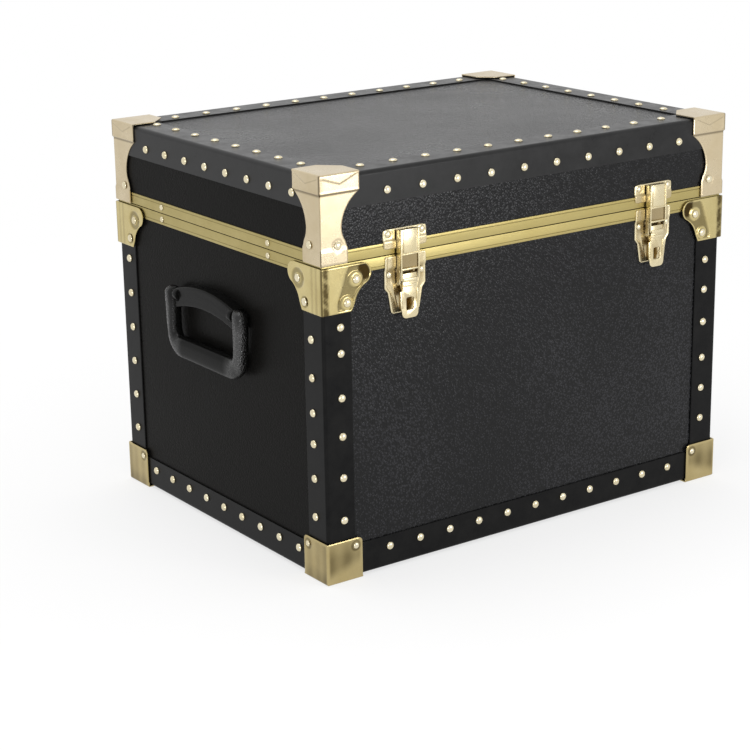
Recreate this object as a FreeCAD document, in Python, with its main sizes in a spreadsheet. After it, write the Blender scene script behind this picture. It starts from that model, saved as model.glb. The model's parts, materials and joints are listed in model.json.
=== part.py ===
import FreeCAD, Part
import math
import os
import Sketcher
from FreeCAD import Vector

# Storage trunk: black panels, nailed bindings, pressed brass corners, two draw latches, two bail handles.
# Origin on the floor under the middle of the case, +X to the right, -Y to the front, +Z up, millimetres.

SIZES = {
    # whole trunk, measured over the brass corners
    "trunk_width": "466.85",
    "trunk_depth": "355.6",
    "trunk_height": "365.25",
    "lid_height": "78.25",
    "seam_gap": "0.6",
    # case
    "panel_thickness": "8",
    "lining_thickness": "0.8",
    "lining_rim": "3",
    # bindings and valances
    "binding_thickness": "1.5",
    "binding_width": "29.5",
    "binding_radius": "2",
    "binding_bevel": "1.2",
    "valance_height": "10.7",
    "valance_thickness": "1",
    # brass corners
    "corner_thickness": "1.8",
    "corner_play": "0.3",
    "corner_radius": "1.5",
    "lid_corner_width": "41",
    "lid_corner_collar": "15.7",
    "lid_corner_step": "1",
    "lid_corner_step_height": "1.8",
    "lid_corner_sheet": "0.9",
    "lid_corner_waist": "22.9",
    "lid_corner_ankle": "26.4",
    "lid_corner_foot_width": "28.4",
    "lid_corner_foot_rise": "3",
    "lid_corner_flap_cut": "16",
    "base_corner_top_drop": "1.2",
    "base_corner_height": "40.8",
    "base_corner_top_width": "43",
    "base_corner_lobe_width": "52",
    "base_corner_lobe_drop": "8.6",
    "base_corner_neck_width": "47.5",
    "base_corner_neck_drop": "17.4",
    "base_corner_waist_width": "34.5",
    "base_corner_waist_height": "7.3",
    "base_corner_foot_width": "31",
    "bottom_cap_width": "37.5",
    "bottom_cap_height": "38.5",
    "bottom_cap_bevel": "3",
    # draw latches on the front
    "latch_inset": "89.125",
    "latch_sheet": "1.2",
    "latch_plate_width": "43.6",
    "latch_plate_height": "52.5",
    "latch_plate_shoulder": "29.3",
    "latch_plate_waist": "36.8",
    "latch_plate_waist_drop": "33.2",
    "latch_plate_foot": "30.4",
    "latch_plate_top_drop": "1.2",
    "keeper_width": "46",
    "keeper_height": "17.3",
    "keeper_lift": "4.6",
    "keeper_shelf_width": "16.4",
    "keeper_shelf_drop": "2.1",
    "keeper_play": "0.6",
    "keeper_lip": "6",
    "lever_pin_drop": "18.7",
    "lever_pin_out": "4.5",
    "lever_eye": "2",
    "ear_eye": "1.7",
    "ear_slope": "1.4",
    "ear_offset": "4.3",
    "ear_gap": "0.7",
    "cheek_gap": "1.4",
    "link_pin_drop": "6.5",
    "link_pin_set_back": "0.6",
    "latch_pin_radius": "0.9",
    "pin_clearance": "0.08",
    "pin_overhang": "0.3",
    "lever_cover_gap": "0.3",
    "lever_cover_rise": "1.7",
    "lever_shoulder_drop": "7",
    "lever_length": "37.7",
    "lever_tip_width": "16",
    "lever_taper_rise": "14.3",
    "lever_bend_rise": "8.3",
    "lever_tip_out": "0.5",
    "lever_slot_width": "8",
    "lever_slot_height": "11.5",
    "lever_slot_rise": "6.8",
    "link_out": "9",
    "link_play": "0.4",
    "link_bar_gap": "0.3",
    "link_head_height": "22.1",
    "link_recess": "1.6",
    "link_panel_rise": "11.3",
    "link_rail_taper": "20",
    "link_rail_back_rise": "5",
    "link_bar_reach": "5.4",
    # stop hinges on the rear
    "hinge_inset": "93.425",
    "hinge_width": "48",
    "hinge_reach": "32",
    "hinge_sheet": "1.2",
    "hinge_bite": "0.4",
    "hinge_barrel": "3.2",
    "hinge_pin_radius": "1.6",
    "hinge_end_knuckle": "14",
    "hinge_play": "0.3",
    # bail handles on the sides
    "handle_offset": "4.2",
    "handle_pivot_drop": "68.2",
    "handle_pivot_out": "9.2",
    "handle_pin_radius": "2.5",
    "handle_pin_grip": "11",
    "handle_plate_length": "102",
    "handle_plate_drop": "13.4",
    "handle_plate_end_height": "19",
    "handle_plate_arch": "8",
    "handle_plate_thickness": "12",
    "handle_ear_width": "6.4",
    "handle_ear_radius": "6",
    "handle_play": "0.4",
    "grip_leg_width": "16.6",
    "grip_splay": "5",
    "grip_drop": "60",
    "grip_bar_height": "20",
    "grip_leg_foot": "10.5",
    "grip_depth": "13.4",
    "grip_round": "4",
    "grip_corner": "20",
    "grip_inner_corner": "8",
    # dome nails and rivets
    "nail_radius": "3.5",
    "nail_crown_radius": "2",
    "nail_height": "2",
    "rivet_radius": "2.9",
    "rivet_crown_radius": "1.7",
    "rivet_height": "1.5",
    "base_front_nail_first": "68.5",
    "base_front_nail_last": "61.85",
    "base_side_nail_first": "48",
    "base_side_nail_last": "52.7",
    "base_nail_height": "21.5",
    "post_nail_first": "58.5",
    "post_nail_last": "55.2",
    "post_nail_inset": "19.8",
    "lid_front_nail_first": "70.8",
    "lid_front_nail_last": "58.55",
    "lid_side_nail_first": "44",
    "lid_side_nail_last": "62.4",
    "lid_nail_drop": "21",
    "top_front_nail_first": "57.8",
    "top_front_nail_last": "62.05",
    "top_side_nail_first": "61",
    "top_side_nail_last": "48.2",
    "top_nail_inset": "23",
    "lid_corner_rivet_in": "20",
    "lid_corner_rivet_rise": "18.1",
    "base_corner_upper_rivet_in": "36",
    "base_corner_upper_rivet_drop": "13.5",
    "base_corner_lower_rivet_in": "26.3",
    "base_corner_lower_rivet_rise": "8",
    "bottom_cap_rivet_inset": "7",
    "keeper_rivet_inset": "5",
    "keeper_rivet_drop": "3.9",
    "latch_plate_rivet_inset": "4.5",
    "latch_plate_rivet_drop": "17.2",
    "valance_rivet_offset": "92",
    "hinge_rivet_inset": "8",
    "hinge_rivet_rise": "23",
    # how far a cutting tool runs past what it cuts
    "overrun": "2",
}

# Shares: where the lid corner narrows, of the lid's height, and how far an arc bulges, of its chord.
SHARES = {
    "lid_waist": "0.4105",
    "lid_ankle": "0.2514",
    "lid_sweep": "0.1243",
    "lid_ankle_sweep": "0.0827",
    "base_sweep": "0.1133",
    "base_neck": "0.1403",
    "base_lobe": "0.1948",
}

# How many nails a row has. A row's first and last nail are measured from its own two ends.
BASE_FRONT_NAIL_COUNT = 11
BASE_SIDE_NAIL_COUNT = 9
POST_NAIL_COUNT = 6
LID_FRONT_NAIL_COUNT = 10
LID_SIDE_NAIL_COUNT = 8
TOP_FRONT_NAIL_COUNT = 11
TOP_SIDE_NAIL_COUNT = 8

# Places worked out from the sizes, each a sum that the pieces share.
PLACES = {
    "panel_inset": "sizes.corner_thickness + sizes.corner_play + sizes.binding_thickness",
    "half_width": "sizes.trunk_width / 2",
    "half_depth": "sizes.trunk_depth / 2",
    "case_x": "half_width - panel_inset",
    "case_y": "half_depth - panel_inset",
    "case_bottom": "panel_inset",
    "case_top": "sizes.trunk_height - panel_inset",
    "inner_x": "case_x - sizes.panel_thickness",
    "inner_y": "case_y - sizes.panel_thickness",
    "floor_top": "case_bottom + sizes.panel_thickness",
    "lid_ceiling": "case_top - sizes.panel_thickness",
    "seam": "sizes.trunk_height - sizes.lid_height",
    "base_rim": "seam - sizes.seam_gap / 2",
    "lid_rim": "seam + sizes.seam_gap / 2",
    "lid_rise": "sizes.trunk_height - lid_rim",
    "bound_x": "case_x + sizes.binding_thickness",
    "bound_y": "case_y + sizes.binding_thickness",
    "bound_bottom": "case_bottom - sizes.binding_thickness",
    "bound_top": "case_top + sizes.binding_thickness",
    "post_bottom": "bound_bottom + sizes.binding_width",
    "post_top": "base_rim - sizes.valance_height",
    "lid_binding_edge": "bound_top - sizes.binding_width",
    "valance_x": "case_x + sizes.valance_thickness",
    "valance_y": "case_y + sizes.valance_thickness",
    "lid_valance_top": "lid_rim + sizes.valance_height",
    "corner_seat": "sizes.binding_thickness + sizes.corner_play",
    "lid_collar_bottom": "sizes.trunk_height - sizes.lid_corner_collar",
    "lid_leg_out": "panel_inset - sizes.lid_corner_step",
    "lid_waist_z": "lid_rim + lid_rise * shares.lid_waist",
    "lid_ankle_z": "lid_rim + lid_rise * shares.lid_ankle",
    "lid_foot_z": "lid_valance_top + sizes.lid_corner_foot_rise",
    "base_corner_top": "base_rim - sizes.base_corner_top_drop",
    "base_corner_low": "base_corner_top - sizes.base_corner_height",
    "latch_x": "half_width - sizes.latch_inset",
    "lever_pin_z": "base_rim - sizes.lever_pin_drop",
    "link_pin_z": "lever_pin_z - sizes.link_pin_drop",
    "link_pin_out": "sizes.lever_pin_out - sizes.link_pin_set_back",
    "lever_back": "sizes.lever_pin_out + sizes.ear_eye + sizes.lever_cover_gap",
    "lever_front": "lever_back + sizes.latch_sheet",
    "lever_shoulder_z": "link_pin_z - sizes.lever_shoulder_drop",
    "lever_tip_z": "lever_pin_z - sizes.lever_length",
    "cheek_offset": "sizes.ear_offset + sizes.latch_sheet + sizes.ear_gap",
    "cheek_end": "cheek_offset + sizes.latch_sheet",
    "link_half": "cheek_end + sizes.cheek_gap + sizes.latch_sheet",
    "link_back": "sizes.valance_thickness + sizes.latch_sheet + sizes.link_play",
    "keeper_bottom": "lid_rim + sizes.keeper_lift",
    "keeper_top": "keeper_bottom + sizes.keeper_height",
    "shelf_top": "keeper_top - sizes.keeper_shelf_drop",
    "shelf_reach": "sizes.link_out - sizes.latch_sheet - sizes.keeper_play",
    "link_top": "shelf_top + sizes.link_bar_gap + sizes.latch_sheet",
    "hinge_x": "half_width - sizes.hinge_inset",
    "hinge_seat": "sizes.valance_thickness + sizes.hinge_sheet - sizes.hinge_bite",
    "hinge_y": "case_y + hinge_seat + sizes.hinge_barrel",
    "hinge_middle_half": "sizes.hinge_width / 2 - sizes.hinge_end_knuckle",
    "handle_pivot_x": "case_x + sizes.handle_pivot_out",
    "handle_pivot_z": "base_rim - sizes.handle_pivot_drop",
    "handle_plate_low": "handle_pivot_z - sizes.handle_plate_drop",
    "handle_plate_half": "sizes.handle_plate_length / 2",
    "grip_inner_x": "handle_pivot_x - sizes.grip_depth / 2",
    "grip_outer_x": "handle_pivot_x + sizes.grip_depth / 2",
    "grip_bottom": "handle_pivot_z - sizes.grip_drop",
    "grip_top": "handle_pivot_z + sizes.grip_depth / 2",
    "grip_gap_half": "handle_plate_half + sizes.handle_play",
    "grip_half": "grip_gap_half + sizes.grip_leg_width",
    "grip_foot_half": "grip_half - sizes.grip_splay",
    "grip_inner_foot": "grip_foot_half - sizes.grip_leg_foot",
}

PLANES = {
    "XY": FreeCAD.Rotation(),
    "YZ": FreeCAD.Rotation(Vector(1, 1, 1), 120),
    "XZ": FreeCAD.Rotation(Vector(1, 0, 0), 90),
}
ACROSS_X = Vector(1, 0, 0)
ACROSS_Y = Vector(0, 1, 0)
HEAD_SIDES = 8

doc = FreeCAD.newDocument("storage_trunk")
for title, table in (("sizes", SIZES), ("shares", SHARES)):
    sheet = doc.addObject("Spreadsheet::Sheet", title)
    for line, (alias, value) in enumerate(table.items(), 1):
        sheet.set(f"A{line}", alias)
        sheet.set(f"B{line}", value)
        sheet.setAlias(f"B{line}", alias)
doc.recompute()

places = doc.addObject("App::VarSet", "places")
for name, expression in PLACES.items():
    places.addProperty("App::PropertyFloat", name)
    places.setExpression(name, expression)
probe = doc.addObject("App::VarSet", "probe")
probe.addProperty("App::PropertyFloat", "value")
doc.recompute()

nodes = {}


def number(expression):
    """What an expression comes to now, to draw a sketch's first shape or a shape made in code."""
    probe.setExpression("value", expression)
    probe.recompute()
    return probe.value


def node(label, made):
    """Name a finished piece of the trunk."""
    made.Label = label
    nodes[label] = made
    return made


def block(low, high):
    """A box between two corners, each given as three expressions."""
    box = doc.addObject("Part::Box", "block")
    for side, axis, start, end in zip(("Length", "Width", "Height"), "xyz", low, high):
        box.setExpression(side, f"({end}) - ({start})")
        box.setExpression(f"Placement.Base.{axis}", start)
    return box


def rod(axis, centre, radius, start, end):
    """A cylinder along X or Y: centre is the two other coordinates."""
    bar = doc.addObject("Part::Cylinder", "rod")
    turn = FreeCAD.Rotation(Vector(0, 0, 1), ACROSS_X if axis == "x" else ACROSS_Y)
    bar.Placement = FreeCAD.Placement(Vector(), turn)
    bar.setExpression("Radius", radius)
    bar.setExpression("Height", f"({end}) - ({start})")
    bar.setExpression(f"Placement.Base.{axis}", start)
    for other, place in zip("yz" if axis == "x" else "xz", centre):
        bar.setExpression(f"Placement.Base.{other}", place)
    return bar


def bind_point(sketch, edge, which, point):
    for letter, expression in zip("XY", point):
        place = Sketcher.Constraint(f"Distance{letter}", -1, 1, edge, which, number(expression))
        index = sketch.addConstraint(place)
        sketch.setExpression(f"Constraints[{index}]", expression)


def arc_between(start, end, radius, hollow):
    """The short arc from start to end, with its centre on the left, or on the right if it is hollow."""
    chord = end - start
    middle = (start + end) * 0.5
    left = Vector(-chord.y, chord.x, 0).normalize()
    reach = math.sqrt(radius**2 - chord.Length**2 / 4)
    centre = middle + left * (-reach if hollow else reach)
    first, last = (end, start) if hollow else (start, end)
    from_angle, to_angle = (math.atan2(p.y - centre.y, p.x - centre.x) for p in (first, last))
    if to_angle < from_angle:
        to_angle += 2 * math.pi
    return Part.ArcOfCircle(Part.Circle(centre, Vector(0, 0, 1), radius), from_angle, to_angle)


def bulge_radius(start, end, share):
    """The radius of an arc that bulges by a share of its chord, as an expression."""
    chord = f"sqrt(({end[0]} - ({start[0]}))^2 + ({end[1]} - ({start[1]}))^2)"
    return f"{chord} * (1 / (8 * {share}) + {share} / 2)"


def outline(plane, points):
    """A closed sketch. A point is (u, v), or (u, v, bulge, "round" or "hollow") where an arc leaves it."""
    sketch = doc.addObject("Sketcher::SketchObject", "outline")
    sketch.Placement = FreeCAD.Placement(Vector(), PLANES[plane])
    corners = [Vector(number(p[0]), number(p[1]), 0) for p in points]
    starts, ends = [], []
    for index, point in enumerate(points):
        start, end = corners[index], corners[(index + 1) % len(points)]
        if len(point) == 2:
            sketch.addGeometry(Part.LineSegment(start, end))
            first, last = 1, 2
        else:
            hollow = point[3] == "hollow"
            radius = bulge_radius(point, points[(index + 1) % len(points)], point[2])
            sketch.addGeometry(arc_between(start, end, number(radius), hollow))
            first, last = (2, 1) if hollow else (1, 2)
            bend = sketch.addConstraint(Sketcher.Constraint("Radius", index, number(radius)))
            sketch.setExpression(f"Constraints[{bend}]", radius)
        starts.append(first)
        ends.append(last)
    for index, point in enumerate(points):
        after = (index + 1) % len(points)
        sketch.addConstraint(Sketcher.Constraint("Coincident", index, ends[index], after, starts[after]))
        bind_point(sketch, index, starts[index], point[:2])
    return sketch


def prism(plane, points, start, end):
    """An outline drawn through the origin and extruded along its plane's normal, from start to end."""
    solid = doc.addObject("Part::Extrusion", "prism")
    solid.Base = outline(plane, points)
    solid.DirMode = "Normal"
    solid.Solid = True
    if plane == "XZ":
        start, end = f"-({end})", f"-({start})"
    solid.setExpression("LengthFwd", end)
    solid.setExpression("LengthRev", f"-({start})")
    return solid


def joined(*pieces):
    whole = doc.addObject("Part::MultiFuse", "joined")
    whole.Shapes = list(pieces)
    whole.Refine = True
    return whole


def shared(*pieces):
    whole = doc.addObject("Part::MultiCommon", "shared")
    whole.Shapes = list(pieces)
    whole.Refine = True
    return whole


def less(piece, *tools):
    rest = doc.addObject("Part::Cut", "less")
    rest.Base = piece
    rest.Tool = tools[0] if len(tools) == 1 else joined(*tools)
    rest.Refine = True
    return rest


def mirrored(piece, normal):
    other = doc.addObject("Part::Mirroring", "mirrored")
    other.Source = piece
    other.Normal = normal
    return other


def grouped(*pieces):
    group = doc.addObject("Part::Compound", "group")
    group.Links = list(pieces)
    return group


def moved(piece, distance, axis="x"):
    copy = grouped(piece)
    copy.setExpression(f"Placement.Base.{axis}", distance)
    return copy


def rounded(piece, radius, wanted):
    """Fillet the edges whose middle point the test picks."""
    doc.recompute()
    edges = piece.Shape.Edges
    picked = [i for i, edge in enumerate(edges, 1) if wanted(edge.CenterOfGravity, edge.Length)]
    soft = doc.addObject("Part::Fillet", "rounded")
    soft.Base = piece
    soft.Edges = [(i, number(radius), number(radius)) for i in picked]
    return soft


def four_ways(piece):
    """The piece at front left, and its mirror images at front right, rear left and rear right."""
    front_right = mirrored(piece, ACROSS_X)
    rear_left = mirrored(piece, ACROSS_Y)
    return piece, front_right, rear_left, mirrored(rear_left, ACROSS_X)


CORNER_NAMES = ("front_left", "front_right", "rear_left", "rear_right")


def minus(expression):
    return f"-({expression})"


# Case panels: the front and rear boards run full width, the sides stand between them.
def make_panels():
    x, y = "places.case_x", "places.case_y"
    ix, iy = "places.inner_x", "places.inner_y"
    for part, low, high in (
        ("base", "places.case_bottom", "places.base_rim"),
        ("lid", "places.lid_rim", "places.lid_ceiling"),
    ):
        front = block((minus(x), minus(y), low), (x, minus(iy), high))
        left = block((minus(x), minus(iy), low), (minus(ix), iy, high))
        node(f"{part}_front_panel", front)
        node(f"{part}_rear_panel", mirrored(front, ACROSS_Y))
        node(f"{part}_left_panel", left)
        node(f"{part}_right_panel", mirrored(left, ACROSS_X))
    bottom = block((minus(ix), minus(iy), "places.case_bottom"), (ix, iy, "places.floor_top"))
    node("base_bottom_panel", bottom)
    top = block((minus(x), minus(y), "places.lid_ceiling"), (x, y, "places.case_top"))
    node("lid_top_panel", top)


# Paper linings, open boxes against the panels.
def make_linings():
    x, y = "places.inner_x", "places.inner_y"
    wall = "sizes.lining_thickness"
    inside = (f"{x} - {wall}", f"{y} - {wall}")
    base_end = "places.base_rim - sizes.lining_rim"
    outer = block((minus(x), minus(y), "places.floor_top"), (x, y, base_end))
    hollow = block(
        (minus(inside[0]), minus(inside[1]), f"places.floor_top + {wall}"),
        (*inside, f"{base_end} + sizes.overrun"),
    )
    node("base_lining", less(outer, hollow))
    lid_end = "places.lid_rim + sizes.lining_rim"
    outer = block((minus(x), minus(y), lid_end), (x, y, "places.lid_ceiling"))
    hollow = block(
        (minus(inside[0]), minus(inside[1]), f"{lid_end} - sizes.overrun"),
        (*inside, f"places.lid_ceiling - {wall}"),
    )
    node("lid_lining", less(outer, hollow))


# Bindings: angle strips over every edge, mitred where two strips meet.
def angle_section(side, wall, edge, board, way):
    """Section of an edge strip: side, edge are its outer planes, wall, board the panels'."""
    reach = f"{side} - sizes.binding_width"
    return [
        (minus(side), edge),
        (minus(reach), edge),
        (minus(reach), board),
        (minus(wall), board),
        (minus(wall), f"{edge} {way} sizes.binding_width"),
        (minus(side), f"{edge} {way} sizes.binding_width"),
    ]


def mitre_cut(near, far):
    """Plan of what a mitre takes off the front strip's left end: along is the strip's own direction."""
    bevel = "sizes.binding_bevel"
    over = "sizes.overrun"
    wide = "sizes.binding_width"
    return [
        (f"-{near} + {bevel} + {over}", f"-{far} - {over}"),
        (f"-{near} + {bevel} / 2", f"-{far} + {bevel} / 2"),
        (f"-{near} + {wide} + {over}", f"-{far} + {wide} + {over}"),
        (f"-{near} - {over}", f"-{far} + {wide} + {over}"),
        (f"-{near} - {over}", f"-{far} - {over}"),
    ]


def edge_strip(along, edge, board, way):
    """A strip along the front edge (x) or the left edge (y), rounded on its outer corner."""
    x, y = "places.bound_x", "places.bound_y"
    if along == "x":
        section = angle_section(y, "places.case_y", edge, board, way)
        bar = prism("YZ", section, minus(x), x)
        cut = prism("XY", mitre_cut(x, y), "0", "sizes.trunk_height")
        other = mirrored(cut, ACROSS_X)
    else:
        section = angle_section(x, "places.case_x", edge, board, way)
        bar = prism("XZ", section, minus(y), y)
        swapped = [(v, u) for u, v in mitre_cut(y, x)]
        cut = prism("XY", swapped, "0", "sizes.trunk_height")
        other = mirrored(cut, ACROSS_Y)
    height = number(edge)
    outer = -number(y if along == "x" else x)
    close = number("sizes.binding_thickness") / 2

    def outer_edge(middle, length):
        place = middle.y if along == "x" else middle.x
        return abs(middle.z - height) < close and abs(place - outer) < close and length > close * 4

    return less(rounded(bar, "sizes.binding_radius", outer_edge), cut, other)


def make_bindings():
    for part, edge, board, way, name in (
        ("base", "places.bound_bottom", "places.case_bottom", "+", "bottom_binding"),
        ("lid", "places.bound_top", "places.case_top", "-", "top_binding"),
    ):
        front = edge_strip("x", edge, board, way)
        left = edge_strip("y", edge, board, way)
        node(f"{part}_front_{name}", front)
        node(f"{part}_rear_{name}", mirrored(front, ACROSS_Y))
        node(f"{part}_left_{name}", left)
        node(f"{part}_right_{name}", mirrored(left, ACROSS_X))
    wide = "sizes.binding_width"
    x, y = "places.bound_x", "places.bound_y"
    section = [
        (minus(x), minus(y)),
        (f"-{x} + {wide}", minus(y)),
        (f"-{x} + {wide}", "-places.case_y"),
        ("-places.case_x", "-places.case_y"),
        ("-places.case_x", f"-{y} + {wide}"),
        (minus(x), f"-{y} + {wide}"),
    ]
    post = prism("XY", section, "places.post_bottom", "places.post_top")
    place = Vector(-number(x), -number(y), 0)
    close = number("sizes.binding_thickness") / 2

    def outer_edge(middle, length):
        return math.hypot(middle.x - place.x, middle.y - place.y) < close

    soft = rounded(post, "sizes.binding_radius", outer_edge)
    for name, corner in zip(CORNER_NAMES, four_ways(soft)):
        node(f"base_{name}_post", corner)


# Valances: thin brass strips round both rims, four lengths each.
def make_valances():
    for part, low, high in (
        ("lid", "places.lid_rim", "places.lid_valance_top"),
        ("base", "places.post_top", "places.base_rim"),
    ):
        x, y = "places.case_x", "places.case_y"
        wide, deep = "places.valance_x", "places.valance_y"
        front = block((minus(wide), minus(deep), low), (wide, minus(y), high))
        left = block((minus(wide), minus(y), low), (minus(x), y, high))
        lengths = front, left, mirrored(front, ACROSS_Y), mirrored(left, ACROSS_X)
        node(f"{part}_valance", grouped(*lengths))


# Lid corners: a collar over the top bindings, a waisted leg against the panels and a foot over the valance.
def lid_corner_section(case):
    """Outer and inner lines of a wing's section, square to a panel."""
    outer = [
        ("places.panel_inset", "sizes.trunk_height"),
        ("places.panel_inset", "places.lid_collar_bottom"),
        ("places.lid_leg_out", "places.lid_collar_bottom - sizes.lid_corner_step_height"),
        ("places.lid_leg_out", "places.lid_rim"),
    ]
    back = "places.lid_leg_out - sizes.lid_corner_sheet"
    inner = [(back, "places.lid_rim"), (back, "sizes.trunk_height")]
    lines = []
    for line in (outer, inner):
        lines.append([(f"-({case} + {out})", high) for out, high in line])
    return lines


def lid_corner_outline(outer, half):
    """A wing seen square on: the outer line of the other wing, then the collar, waist and foot."""
    return list(reversed(outer)) + [
        (f"-{half} + sizes.lid_corner_width", "sizes.trunk_height"),
        (
            f"-{half} + sizes.lid_corner_width",
            "places.lid_collar_bottom - sizes.lid_corner_step_height",
            "shares.lid_sweep",
            "round",
        ),
        (f"-{half} + sizes.lid_corner_waist", "places.lid_waist_z", "shares.lid_ankle_sweep", "round"),
        (f"-{half} + sizes.lid_corner_ankle", "places.lid_ankle_z"),
        (f"-{half} + sizes.lid_corner_foot_width", "places.lid_foot_z"),
        (f"-{half} + sizes.lid_corner_foot_width", "places.lid_rim"),
    ]


def make_lid_corners():
    x, y = "places.half_width", "places.half_depth"
    front_outer, front_inner = lid_corner_section("places.case_y")
    left_outer, left_inner = lid_corner_section("places.case_x")
    reach = "sizes.lid_corner_width + sizes.overrun"
    front_band = prism("YZ", front_outer + front_inner, minus(x), f"-{x} + {reach}")
    front_shape = prism("XZ", lid_corner_outline(left_outer, x), f"-{y} - {reach}", f"-{y} + {reach}")
    left_band = prism("XZ", left_outer + left_inner, minus(y), f"-{y} + {reach}")
    left_shape = prism("YZ", lid_corner_outline(front_outer, y), f"-{x} - {reach}", f"-{x} + {reach}")
    wide, cut = "sizes.lid_corner_width", "sizes.lid_corner_flap_cut"
    flap = prism(
        "XY",
        [
            (minus(x), minus(y)),
            (f"-{x} + {wide}", minus(y)),
            (f"-{x} + {wide}", f"-{y} + {wide} - {cut}"),
            (f"-{x} + {wide} - {cut}", f"-{y} + {wide}"),
            (minus(x), f"-{y} + {wide}"),
        ],
        "sizes.trunk_height - sizes.corner_thickness",
        "sizes.trunk_height",
    )
    corner = joined(shared(front_band, front_shape), shared(left_band, left_shape), flap)
    for name, piece in zip(CORNER_NAMES, four_ways(corner)):
        node(f"lid_{name}_corner", piece)


# Base corners: two lobed wings over the posts, just under the seam.
def make_base_corners():
    def wing(half):
        top, low = "places.base_corner_top", "places.base_corner_low"
        return [
            (minus(half), low),
            (f"-{half} + sizes.base_corner_foot_width", low),
            (
                f"-{half} + sizes.base_corner_waist_width",
                f"{low} + sizes.base_corner_waist_height",
                "shares.base_sweep",
                "hollow",
            ),
            (
                f"-{half} + sizes.base_corner_neck_width",
                f"{top} - sizes.base_corner_neck_drop",
                "shares.base_neck",
                "round",
            ),
            (
                f"-{half} + sizes.base_corner_lobe_width",
                f"{top} - sizes.base_corner_lobe_drop",
                "shares.base_lobe",
                "round",
            ),
            (f"-{half} + sizes.base_corner_top_width", top),
            (minus(half), top),
        ]

    x, y = "places.half_width", "places.half_depth"
    thick = "sizes.corner_thickness"
    front = prism("XZ", wing(x), minus(y), f"-{y} + {thick}")
    left = prism("YZ", wing(y), minus(x), f"-{x} + {thick}")
    corner = rounded(joined(front, left), "sizes.corner_radius", outer_corner())
    node("base_corners", grouped(*four_ways(corner)))


def outer_corner(low=None):
    """A test for the edges that meet at a corner's outermost point: the upright one, two at a low plane."""
    x, y = number("-places.half_width"), number("-places.half_depth")
    close = number("sizes.corner_thickness") / 4

    def wanted(middle, length):
        sides = abs(middle.x - x) < close, abs(middle.y - y) < close
        flat = low is not None and abs(middle.z - low) < close
        return all(sides) or (flat and any(sides))

    return wanted


# Bottom caps: three square wings, on which the trunk stands.
def make_bottom_corners():
    x, y = "places.half_width", "places.half_depth"
    wide, high = "sizes.bottom_cap_width", "sizes.bottom_cap_height"
    thick, bevel = "sizes.corner_thickness", "sizes.bottom_cap_bevel"

    def wing(half, side):
        return [
            (minus(half), "0"),
            (f"-{half} + {wide}", "0"),
            (f"-{half} + {wide}", f"{side} - {bevel}"),
            (f"-{half} + {wide} - {bevel}", side),
            (minus(half), side),
        ]

    front = prism("XZ", wing(x, high), minus(y), f"-{y} + {thick}")
    left = prism("YZ", wing(y, high), minus(x), f"-{x} + {thick}")
    sole = block((minus(x), minus(y), "0"), (f"-{x} + {wide}", f"-{y} + {wide}", thick))
    cap = rounded(joined(front, left, sole), "sizes.corner_radius", outer_corner(0))
    node("bottom_corners", grouped(*four_ways(cap)))


def joggled(side, rim, way, start, reach, thick):
    """Section of a plate on a panel that steps out over the valance, from start to reach beyond a rim."""
    over = "sizes.valance_thickness"
    edge = "sizes.valance_height"
    steps = [
        (over, start),
        (f"{over} + {thick}", start),
        (f"{over} + {thick}", f"{edge} + {thick}"),
        (thick, f"{edge} + {thick} + {over}"),
        (thick, reach),
        ("0", reach),
        ("0", edge),
        (over, edge),
    ]
    return [(f"{side}(places.case_y + {out})", f"{rim} {way} ({along})") for out, along in steps]


def front_points(points):
    """Points given as distance out from the front panel and height."""
    return [(f"-(places.case_y + {out})", high) for out, high in points]


def twin_plates(section, offset, thick):
    """Two like plates, square to X, on either side of the middle."""
    right = prism("YZ", section, offset, f"{offset} + {thick}")
    return right, mirrored(right, ACROSS_X)


def eye(out, high, radius, half):
    return rod("x", (f"-(places.case_y + {out})", high), radius, minus(half), half)


# Latch plate: a shield on the base with two ears that hold the lever's pin.
def latch_plate():
    rim, top, reach = "places.base_rim", "sizes.latch_plate_top_drop", "sizes.latch_plate_height"
    half = "sizes.latch_plate_width / 2"
    band = prism("YZ", joggled("-", rim, "-", top, reach, "sizes.latch_sheet"), minus(half), half)
    right = [
        (half, f"{rim} - {top}"),
        (half, f"{rim} - sizes.latch_plate_shoulder"),
        ("sizes.latch_plate_waist / 2", f"{rim} - sizes.latch_plate_waist_drop"),
        ("sizes.latch_plate_foot / 2", f"{rim} - {reach}"),
    ]
    left = [(minus(across), high) for across, high in reversed(right)]
    shield = prism("XZ", right + left, "-places.half_depth", "-places.case_y")
    seat = "sizes.valance_thickness + sizes.latch_sheet / 2"
    pin_out, pin_z, radius = "sizes.lever_pin_out", "places.lever_pin_z", "sizes.ear_eye"
    arm = front_points(
        [
            (seat, f"{pin_z} - {radius}"),
            (pin_out, f"{pin_z} - {radius}"),
            (pin_out, f"{pin_z} + {radius}"),
            (seat, f"{pin_z} + {radius} - sizes.ear_slope"),
        ]
    )
    offset, thick = "sizes.ear_offset", "sizes.latch_sheet"
    arms = twin_plates(arm, offset, thick)
    tip = rod("x", (f"-(places.case_y + {pin_out})", pin_z), radius, offset, f"{offset} + {thick}")
    bore = eye(pin_out, pin_z, "sizes.latch_pin_radius + sizes.pin_clearance", half)
    return less(joined(shared(band, shield), *arms, tip, mirrored(tip, ACROSS_X)), bore)


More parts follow.
